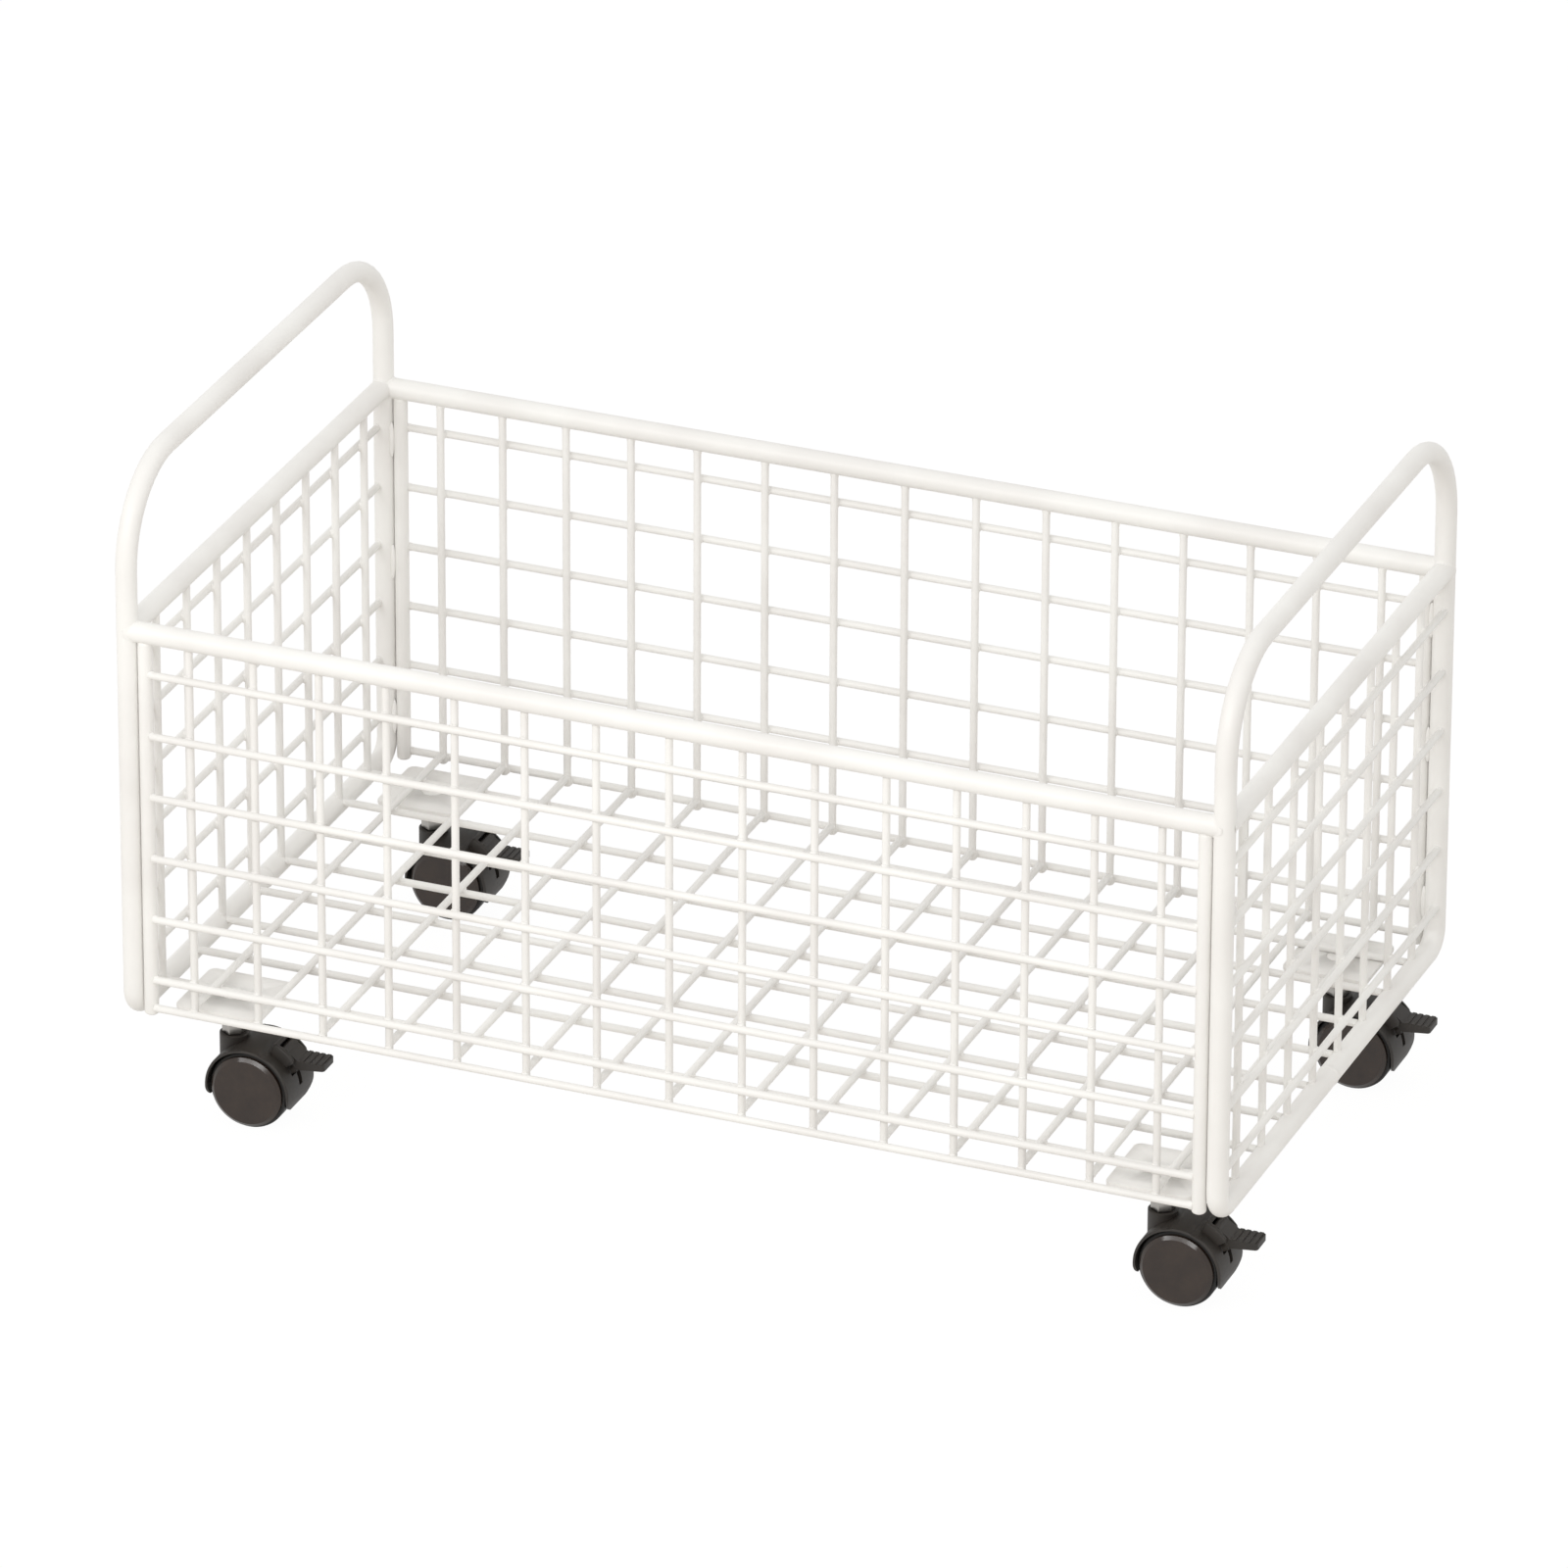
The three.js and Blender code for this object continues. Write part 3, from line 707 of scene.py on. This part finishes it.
def side_upright_places():
    bays = SIDE_BAYS // 2
    half = rod_x - EDGE_BAY
    middle_bay = (half + BAY_TAPER * bays * (bays - 1) / 2) / bays
    right = [middle_bay * count - BAY_TAPER * count * (count - 1) / 2 for count in range(1, bays + 1)]
    return [-place for place in reversed(right)] + [0] + right


def even_places(count, pitch):
    return [pitch * (number - (count - 1) / 2) for number in range(count)]


side_uprights = side_upright_places()
cross_uprights = even_places(END_UPRIGHTS, END_UPRIGHT_PITCH)
side_rows = [RIM_HEIGHT - SIDE_TOP_BAY - SIDE_ROW_PITCH * number for number in range(ROW_COUNT)]
end_rows = [RIM_HEIGHT - END_TOP_BAY - END_ROW_PITCH * number for number in range(ROW_COUNT)]
print("side uprights at", [round(1000 * place, 1) for place in side_uprights])

# %% [markdown]
# The long side: uprights on the inside, rows on the outside, and one more row along the bottom. The
# wires run a little into the tubes that carry them, and a drop of weld closes each end.

# %% long sides
ALONG, ACROSS, UP = (1, 0, 0), (0, 1, 0), (0, 0, 1)


def long_side(name, y):
    out = math.copysign(LAYER, y)
    inside, outside = y - out, y + out
    rim_under = RIM_HEIGHT - tube_r
    rod_inner = rod_x - rod_r
    rows = side_rows + [BOTTOM_WIRE_HEIGHT]
    upright = one_wire(
        (side_uprights[0], inside, BOTTOM_WIRE_HEIGHT - WIRE_R), (side_uprights[0], inside, rim_under + BITE)
    )
    bar = one_wire((-rod_inner - BITE, outside, rows[0]), (rod_inner + BITE, outside, rows[0]))
    crossings = [(x, y, z) for x in side_uprights for z in rows]
    ends = [(x, inside, rim_under) for x in side_uprights]
    ends += [(side * rod_inner, outside, z) for side in (-1, 1) for z in rows]
    pieces = row_of(upright, ALONG, side_uprights) + row_of(bar, UP, rows)
    pieces += drops_at(crossings, DROP_WIDTH, ACROSS) + drops_at(ends, END_DROP, ACROSS)
    return join(name, pieces)


for side, y in (("front", -post_y), ("back", post_y)):
    dress(long_side(side + "_wire_wall", y), powder_coat, "basket", "white_powder_coat", side + "_panel_mesh")

# %% [markdown]
# The short ends are the same idea between the posts, the rim bar and the bottom rail, with the
# uprights evenly spaced.

# %% short ends
def short_end(name, x):
    out = math.copysign(LAYER, x)
    inside, outside = x - out, x + out
    rim_under = RIM_HEIGHT - tube_r
    rail_top = RAIL_HEIGHT + tube_r
    post_inner = post_y - tube_r
    upright = one_wire((inside, cross_uprights[0], rail_top - BITE), (inside, cross_uprights[0], rim_under + BITE))
    bar = one_wire((outside, -post_inner - BITE, end_rows[0]), (outside, post_inner + BITE, end_rows[0]))
    crossings = [(x, y, z) for y in cross_uprights for z in end_rows]
    ends = [(inside, y, z) for y in cross_uprights for z in (rail_top, rim_under)]
    ends += [(outside, side * post_inner, z) for side in (-1, 1) for z in end_rows]
    pieces = row_of(upright, ACROSS, cross_uprights) + row_of(bar, UP, end_rows)
    pieces += drops_at(crossings, DROP_WIDTH, ALONG) + drops_at(ends, END_DROP, ALONG)
    return join(name, pieces)


for side, x in (("left", -hoop_x), ("right", hoop_x)):
    dress(short_end(side + "_wire_end", x), powder_coat, "basket", "white_powder_coat", side + "_end_mesh")

# %% [markdown]
# The floor: long wires from bottom rail to bottom rail, and on top of them a cross wire at every
# side upright, welded to it, so that wall and floor make one basket.

# %% wire floor
FLOOR_HEIGHT = 69 * MM


def wire_floor(name):
    rail_inner = hoop_x - tube_r
    cross_height = FLOOR_HEIGHT + 2 * LAYER
    upright_inner = post_y - LAYER - WIRE_R
    first_y, first_x = cross_uprights[0], side_uprights[0]
    long_wire = one_wire((-rail_inner - BITE, first_y, FLOOR_HEIGHT), (rail_inner + BITE, first_y, FLOOR_HEIGHT))
    cross_wire = one_wire((first_x, -upright_inner - BITE, cross_height), (first_x, upright_inner + BITE, cross_height))
    crossings = [(x, y, FLOOR_HEIGHT + LAYER) for x in side_uprights for y in cross_uprights]
    ends = [(side * rail_inner, y, FLOOR_HEIGHT) for side in (-1, 1) for y in cross_uprights]
    ends += [(x, side * upright_inner, cross_height) for side in (-1, 1) for x in side_uprights]
    pieces = row_of(long_wire, ACROSS, cross_uprights) + row_of(cross_wire, ALONG, side_uprights)
    pieces += drops_at(crossings, DROP_WIDTH, UP) + drops_at(ends, END_DROP, UP)
    return join(name, pieces)


dress(wire_floor("wire_floor"), powder_coat, "basket", "white_powder_coat", "floor_mesh")

# %% [markdown]
# Pins are turned shapes. Spinning a profile would do, but a lathe hand works from
# shoulder to shoulder: a disc is extruded up to each height and resized to each diameter.

# %% turned shapes
PIN_SIDES = 32


def turned(name, x, y, shoulders):
    first_r, first_z = shoulders[0]
    start_fresh()
    bpy.ops.mesh.primitive_circle_add(
        vertices=PIN_SIDES, radius=first_r, fill_type="NGON", location=(x, y, first_z)
    )
    open_mesh()
    for (was_r, was_z), (r, z) in zip(shoulders, shoulders[1:]):
        bpy.ops.mesh.extrude_region_move(TRANSFORM_OT_translate={"value": (0, 0, z - was_z)})
        bpy.ops.transform.resize(value=(r / was_r, r / was_r, 1), center_override=(x, y, z))
    return close_mesh(name)


joint_at = {joint["name"]: Vector(joint["pos_m"]) for joint in frame["joints"]}

# %% [markdown]
# Each caster hangs on a square plate welded under the floor wires: sheet steel with rounded
# corners and a counterbored hole for the kingpin. The hole is cut with pins by a Boolean, and the
# sheet's edges are broken by a small bevel.

# %% caster plates
PLATE_SIZE = 46 * MM
PLATE_CORNER = 4 * MM
PLATE_EDGE = 0.4 * MM
STEM_R = 4 * MM
STEM_HEAD_R = 6 * MM
STEM_HEAD = 1.2 * MM
SLACK = 0.15 * MM

plate_low, plate_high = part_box("front_left_caster_plate")
plate_middle = (plate_low + plate_high) / 2
plate_thick = plate_high.z - plate_low.z


def cut(piece, tools, operation):
    for tool in tools:
        change = piece.modifiers.new("cut", "BOOLEAN")
        change.operation = operation
        change.solver = "MANIFOLD"
        change.object = tool
        start_fresh()
        bpy.context.view_layer.objects.active = piece
        piece.select_set(True)
        bpy.ops.object.modifier_apply(modifier=change.name)
        bpy.data.objects.remove(tool)
    return piece


def drill(x, y, r, low, high):
    return turned("drill", x, y, [(r, low), (r, high)])


def caster_plate(name):
    start_fresh()
    bpy.ops.mesh.primitive_cube_add(size=1, location=plate_middle)
    bpy.context.object.scale = (PLATE_SIZE, PLATE_SIZE, plate_thick)
    open_mesh()
    pick_edges(lambda one, other: abs(one.z - other.z) > plate_thick / 2)
    bpy.ops.mesh.bevel(offset=PLATE_CORNER, segments=6)
    pick_faces(lambda middle, normal: abs(normal.z) > 0.9)
    bpy.ops.mesh.bevel(offset=PLATE_EDGE, segments=2)
    plate = close_mesh(name)
    x, y = plate_middle.x, plate_middle.y
    below, above = plate_low.z - MM, plate_high.z + MM
    hole = drill(x, y, STEM_R + SLACK, below, above)
    seat = drill(x, y, STEM_HEAD_R + SLACK, plate_high.z - STEM_HEAD, above)
    return cut(plate, [hole, seat], "DIFFERENCE")


plate = caster_plate("front_left_plate")
stem_at = joint_at["front_left_caster_swivel"]
for place in PLACES:
    move = joint_at[place + "_caster_swivel"] - stem_at
    twin = plate if place == "front_left" else copy_of(plate, place + "_plate", move)
    dress(twin, powder_coat, "basket", "white_powder_coat", place + "_caster_plate")

# %% [markdown]
# The kingpin on which a caster swivels: a flat head in the plate, a short shank, a wrench hexagon
# that bears on the hood, and below it a pin with a groove for the grip ring.
# The round parts are turned; the hexagon is a six-sided cylinder with its edges broken, slid on.
# The head was painted together with the plate, so its faces get the powder coat.

# %% kingpins
HEXAGON_R = 6.4 * MM
HEXAGON_HIGH = 5.2 * MM
PIN_R = 2.5 * MM
RING_GROOVE_R = 1.9 * MM
BOSS_HIGH = 46 * MM
EDGE_BREAK = 0.3 * MM

stem_low, stem_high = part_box("front_left_caster_stem")
ring_low, ring_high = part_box("front_left_grip_ring")
hexagon_low = BOSS_HIGH + 0.3 * MM


def hexagon(at):
    start_fresh()
    bpy.ops.mesh.primitive_cylinder_add(vertices=6, radius=HEXAGON_R, depth=HEXAGON_HIGH, location=at)
    open_mesh()
    bpy.ops.mesh.bevel(offset=EDGE_BREAK, segments=2)
    return close_mesh("hexagon")


shank = turned(
    "shank",
    stem_at.x,
    stem_at.y,
    [
        (PIN_R - 2 * EDGE_BREAK, stem_low.z),
        (PIN_R, stem_low.z + 2 * EDGE_BREAK),
        (PIN_R, ring_low.z - EDGE_BREAK),
        (RING_GROOVE_R, ring_low.z - EDGE_BREAK),
        (RING_GROOVE_R, ring_high.z + EDGE_BREAK),
        (PIN_R, ring_high.z + EDGE_BREAK),
        (PIN_R, hexagon_low + MM),
        (STEM_R, hexagon_low + MM),
        (STEM_R, stem_high.z - STEM_HEAD + SLACK),
        (STEM_HEAD_R, stem_high.z - STEM_HEAD + SLACK),
        (STEM_HEAD_R, stem_high.z - EDGE_BREAK),
        (STEM_HEAD_R - EDGE_BREAK, stem_high.z),
    ],
)
hexagon_at = Vector((stem_at.x, stem_at.y, hexagon_low + HEXAGON_HIGH / 2))
kingpin = join("front_left_kingpin", [shank, hexagon(hexagon_at)])
for place in PLACES:
    move = joint_at[place + "_caster_swivel"] - stem_at
    twin = kingpin if place == "front_left" else copy_of(kingpin, place + "_kingpin", move)
    dress(twin, zinc_steel, "basket", "zinc_steel", place + "_caster_stem")
    twin.data.materials.append(powder_coat)
    for face in twin.data.polygons:
        face.material_index = 1 if face.center.z > plate_low.z else 0

# %% [markdown]
# The hood is one moulding: a fender that curves over both wheels, a web between them, a raised
# spine along the top with a pocket for the brake lever, and a round boss for the kingpin.
# Its parts are rounded rectangles spun about the axle, like slices of pipe. They are united, and
# the wheel wells and the pocket are cut out of them.

# %% spun blocks
DEGREES_PER_STEP = 5

axle = joint_at["front_left_outer_wheel_spin"]


def on_wheel(r, angle, y=0):
    turn = math.radians(angle)
    return axle + Vector((r * math.cos(turn), y, r * math.sin(turn)))


def spun_block(name, inner, outer, half, low, high, corner, end_corner=0):
    start_fresh()
    bpy.ops.mesh.primitive_plane_add(
        size=1, location=on_wheel((inner + outer) / 2, low), rotation=(0, -math.radians(low), 0)
    )
    bpy.context.object.scale = (outer - inner, 2 * half, 1)
    open_mesh()
    if corner:
        bpy.ops.mesh.bevel(offset=corner, segments=4, affect="VERTICES")
        bpy.ops.mesh.select_all(action="SELECT")
    steps = math.ceil((high - low) / DEGREES_PER_STEP)
    bpy.ops.mesh.spin(steps=steps, angle=math.radians(high - low), center=axle, axis=(0, 1, 0))
    if end_corner:
        ways = [on_wheel(1, angle + 90) - axle for angle in (low, high)]
        pick_faces(lambda middle, normal: any(abs(normal.dot(way)) > 0.999 for way in ways))
        bpy.ops.mesh.bevel(offset=end_corner, segments=3)
    return close_mesh(name)


def cross_pin(name, at, r, half):
    start_fresh()
    bpy.ops.mesh.primitive_cylinder_add(
        vertices=2 * PIN_SIDES, radius=r, depth=2 * half, location=at, rotation=(math.pi / 2, 0, 0)
    )
    open_mesh()
    return close_mesh(name)


print("axle at", [round(value, 4) for value in axle])

# %% [markdown]
# The measures of the hood are the photograph's: the fender ends low under the lever, with rounded
# corners, and the spine is narrower than the fender and steps up from it only round the lever.
# The rounded corners come from a block with two rounded edges, which keeps what the two share.

# %% hoods
WHEEL_R = 21 * MM
WELL_R = 21.9 * MM
FENDER_R = 23.3 * MM
FENDER_HALF = 16.5 * MM
FENDER_LOW, FENDER_HIGH = -26, 196
FENDER_CORNER = 12 * MM
WEB_HALF = 4.1 * MM
HUB_R = 6 * MM
SPINE_R = 29.4 * MM
SPINE_HALF = 9 * MM
SPINE_LOW, SPINE_HIGH = 36, 65
BOSS_R = 7.6 * MM
BOSS_EDGE = 0.6 * MM
POCKET_HALF = 7 * MM
POCKET_LOW, POCKET_HIGH = 22, 59.7
SLIT_HALF = 1.8 * MM
SLIT_LOW = 4

pivot = joint_at["front_left_brake_press"]


def rounded_block():
    low = on_wheel(FENDER_R, FENDER_LOW).z
    start_fresh()
    bpy.ops.mesh.primitive_cube_add(size=1, location=(axle.x, axle.y, low + FENDER_R))
    bpy.context.object.scale = (4 * FENDER_R, 2 * FENDER_HALF + SLACK, 2 * FENDER_R)
    open_mesh()
    pick_edges(lambda one, other: max(one.z, other.z) < low + MM and abs(one.x - other.x) > FENDER_R)
    bpy.ops.mesh.bevel(offset=FENDER_CORNER, segments=6)
    return close_mesh("rounded_block")


def caster_hood(name):
    hood = spun_block(name, HUB_R / 2, FENDER_R, FENDER_HALF, FENDER_LOW, FENDER_HIGH, 0.9 * MM, 1.2 * MM)
    cut(hood, [rounded_block()], "INTERSECT")
    spine = spun_block("spine", WELL_R, SPINE_R, SPINE_HALF, SPINE_LOW, SPINE_HIGH, 1.2 * MM, 1.5 * MM)
    boss = turned(
        "boss",
        stem_at.x,
        stem_at.y,
        [(BOSS_R, axle.z + MM), (BOSS_R, BOSS_HIGH - BOSS_EDGE), (BOSS_R - BOSS_EDGE, BOSS_HIGH)],
    )
    cut(hood, [spine, boss], "UNION")
    well_half = (FENDER_HALF + MM - WEB_HALF) / 2
    wells = [
        cross_pin("well", axle + Vector((0, side * (WEB_HALF + well_half), 0)), WELL_R, well_half)
        for side in (-1, 1)
    ]
    cut(hood, wells, "DIFFERENCE")
    cut(hood, [cross_pin("hub", axle, HUB_R, WEB_HALF)], "UNION")
    pocket = spun_block("pocket", WHEEL_R, SPINE_R + MM, POCKET_HALF, POCKET_LOW, POCKET_HIGH, 0)
    slit = spun_block("slit", WHEEL_R, FENDER_R + MM, SLIT_HALF, SLIT_LOW, POCKET_HIGH - 5, 0)
    cut(hood, [pocket, slit], "DIFFERENCE")
    start_fresh()
    bpy.context.view_layer.objects.active = hood
    hood.select_set(True)
    bpy.ops.object.mode_set(mode="EDIT")
    return close_mesh(name)


hood = caster_hood("front_left_hood")
for place in PLACES:
    move = joint_at[place + "_caster_swivel"] - stem_at
    twin = hood if place == "front_left" else copy_of(hood, place + "_hood", move)
    dress(twin, hood_nylon, place + "_swivel", "black_nylon", place + "_caster_hood")

# %% [markdown]
# The brake lever: a foot pedal that turns on a cross pin between the spine's cheeks, with a shoe
# underneath that comes down on both treads. Grip ribs cross the pedal.
# The pedal is extruded from its tip to its hub. Cuts across its top mark the ribs, which are then
# raised out of it.

# %% brake levers
LEVER_HALF = 6.5 * MM
PEDAL_TIP = Vector((39 * MM, 0, 16 * MM))
PEDAL_ROOT = Vector((24.4 * MM, 0, 15.2 * MM))
TIP_THICK = 3.3 * MM
ROOT_THICK = 5 * MM
HUB_THICK = 6.6 * MM
LEVER_HUB_R = 3 * MM
LEVER_PIN_R = 1.6 * MM
SHOE_R = 23.55 * MM
SHOE_DEEP = 3 * MM
SHOE_LOW, SHOE_HIGH = 26, 42
RIB_COUNT = 4
RIB_PITCH = 3.4 * MM
RIB_WIDTH = 2.1 * MM
RIB_RISE = 0.4 * MM
PEDAL_EDGE = 0.35 * MM


def pedal(name):
    tip, root = axle + PEDAL_TIP, axle + PEDAL_ROOT
    start_fresh()
    bpy.ops.mesh.primitive_plane_add(size=1, location=tip, rotation=(0, math.pi / 2, 0))
    bpy.context.object.scale = (TIP_THICK, 2 * LEVER_HALF, 1)
    open_mesh()
    bpy.ops.mesh.extrude_region_move(TRANSFORM_OT_translate={"value": root - tip})
    bpy.ops.transform.resize(value=(1, 1, ROOT_THICK / TIP_THICK), center_override=root)
    bpy.ops.mesh.extrude_region_move(TRANSFORM_OT_translate={"value": pivot - root})
    bpy.ops.transform.resize(value=(1, 1, HUB_THICK / ROOT_THICK), center_override=pivot)
    bpy.ops.mesh.select_all(action="SELECT")
    bpy.ops.mesh.normals_make_consistent(inside=False)
    rib_starts = [tip.x - RIB_PITCH * (number + 1) for number in range(RIB_COUNT)]
    for x in sorted(rib_starts + [start + RIB_WIDTH for start in rib_starts]):
        bpy.ops.mesh.select_all(action="SELECT")
        bpy.ops.mesh.bisect(plane_co=(x, 0, 0), plane_no=(1, 0, 0))
    pick_edges(lambda one, other: min(one.x, other.x) > tip.x - MM / 10 and abs(one.y - other.y) < MM / 10)
    bpy.ops.mesh.bevel(offset=1.5 * MM, segments=4)
    pick_faces(
        lambda middle, normal: normal.z > 0.7
        and any(start < middle.x < start + RIB_WIDTH for start in rib_starts)
    )
    bpy.ops.mesh.extrude_region_shrink_fatten(TRANSFORM_OT_shrink_fatten={"value": RIB_RISE})
    return close_mesh(name)


def brake_lever(name):
    lever = pedal(name)
    shoe = spun_block("shoe", SHOE_R, SHOE_R + SHOE_DEEP, LEVER_HALF - 0.01 * MM, SHOE_LOW, SHOE_HIGH, 0)
    hub = cross_pin("hub", pivot, LEVER_HUB_R, LEVER_HALF - 0.02 * MM)
    pin = cross_pin("pin", pivot, LEVER_PIN_R, SPINE_HALF - 0.5 * MM)
    return cut(lever, [hub, shoe, pin], "UNION")


lever = brake_lever("front_left_pedal")
for place in PLACES:
    move = joint_at[place + "_caster_swivel"] - stem_at
    twin = lever if place == "front_left" else copy_of(lever, place + "_pedal", move)
    dress(twin, hood_nylon, place + "_lever", "black_nylon", place + "_brake_lever")

# %% [markdown]
# Each caster has two wheels that turn on their own. A wheel is a disc with a plain, smooth face that
# stands out of the tread, so that a groove runs round it inside the fender. The groove is dark from the
# fender's shade and from painted shade.
# The tread is a cylinder bevelled on both rims. Its outer face is inset and drawn out to the wheel's
# face, whose edge is sloped. The tread's faces, the groove's floor among them, get the scuffed
# finish. Its near-black colour is that painted shade.

# %% wheels
WHEEL_SIDES = 72
WHEEL_INNER = 4.6 * MM
WHEEL_FACE = 17.5 * MM
TREAD_FACE = 14.3 * MM
TREAD_ROUND = 1.2 * MM
INNER_ROUND = 1 * MM
GROOVE = 0.5 * MM
FACE_SLOPE, SLOPE_RISE = 1.8 * MM, 1.35 * MM
FACE_R = WHEEL_R - TREAD_ROUND - GROOVE


def wheel(name, side):
    middle_y = side * (WHEEL_INNER + TREAD_FACE) / 2
    start_fresh()
    bpy.ops.mesh.primitive_cylinder_add(
        vertices=WHEEL_SIDES,
        radius=WHEEL_R,
        depth=TREAD_FACE - WHEEL_INNER,
        location=axle + Vector((0, middle_y, 0)),
        rotation=(math.pi / 2, 0, 0),
    )
    open_mesh()
    pick_faces(lambda middle, normal: normal.y * side < -0.9)
    bpy.ops.mesh.bevel(offset=INNER_ROUND, segments=2)
    pick_faces(lambda middle, normal: normal.y * side > 0.99)
    bpy.ops.mesh.bevel(offset=TREAD_ROUND, segments=3)
    pick_faces(lambda middle, normal: normal.y * side > 0.99)
    bpy.ops.mesh.inset(thickness=GROOVE)
    lift = WHEEL_FACE - SLOPE_RISE - TREAD_FACE
    bpy.ops.mesh.extrude_region_move(TRANSFORM_OT_translate={"value": (0, side * lift, 0)})
    bpy.ops.mesh.inset(thickness=FACE_SLOPE, depth=SLOPE_RISE)
    made = close_mesh(name)
    made.data.materials.append(face_nylon)
    made.data.materials.append(shade_painted_tread)
    # faces outside the face disc, the groove's floor among them, take the tread finish with its painted shade
    for face in made.data.polygons:
        away = Vector((face.center.x - axle.x, face.center.z - axle.z)).length
        face.material_index = 1 if away > FACE_R + GROOVE / 10 else 0
    return made


def hang_wheel(made, body, solid):
    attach(made, body)
    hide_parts(solid)
    print(made.name, len(made.data.polygons), "faces on", body)


front_wheel = wheel("front_left_wheel_a", -1)
back_wheel = wheel("front_left_wheel_b", 1)
for place in PLACES:
    move = joint_at[place + "_caster_swivel"] - stem_at
    outer, inner = ("a", "b") if place.startswith("front") else ("b", "a")
    for letter, made in (("a", front_wheel), ("b", back_wheel)):
        part = "outer" if letter == outer else "inner"
        name = place + "_wheel_" + letter
        twin = made if place == "front_left" else copy_of(made, name, move)
        hang_wheel(twin, place + "_" + part, place + "_" + part + "_wheel")

# %% [markdown]
# Axles and grip rings lie inside the casters and keep their solids. They only take the zinc finish.

# %% hidden steel
hidden = [name for name in frame["nodes"] if name.endswith(("_wheel_axle", "_grip_ring"))]
for name in hidden:
    solid = frame["nodes"][name]
    solid.data.materials.clear()
    solid.data.materials.append(zinc_steel)
print(len(hidden), "hidden pieces in zinc")
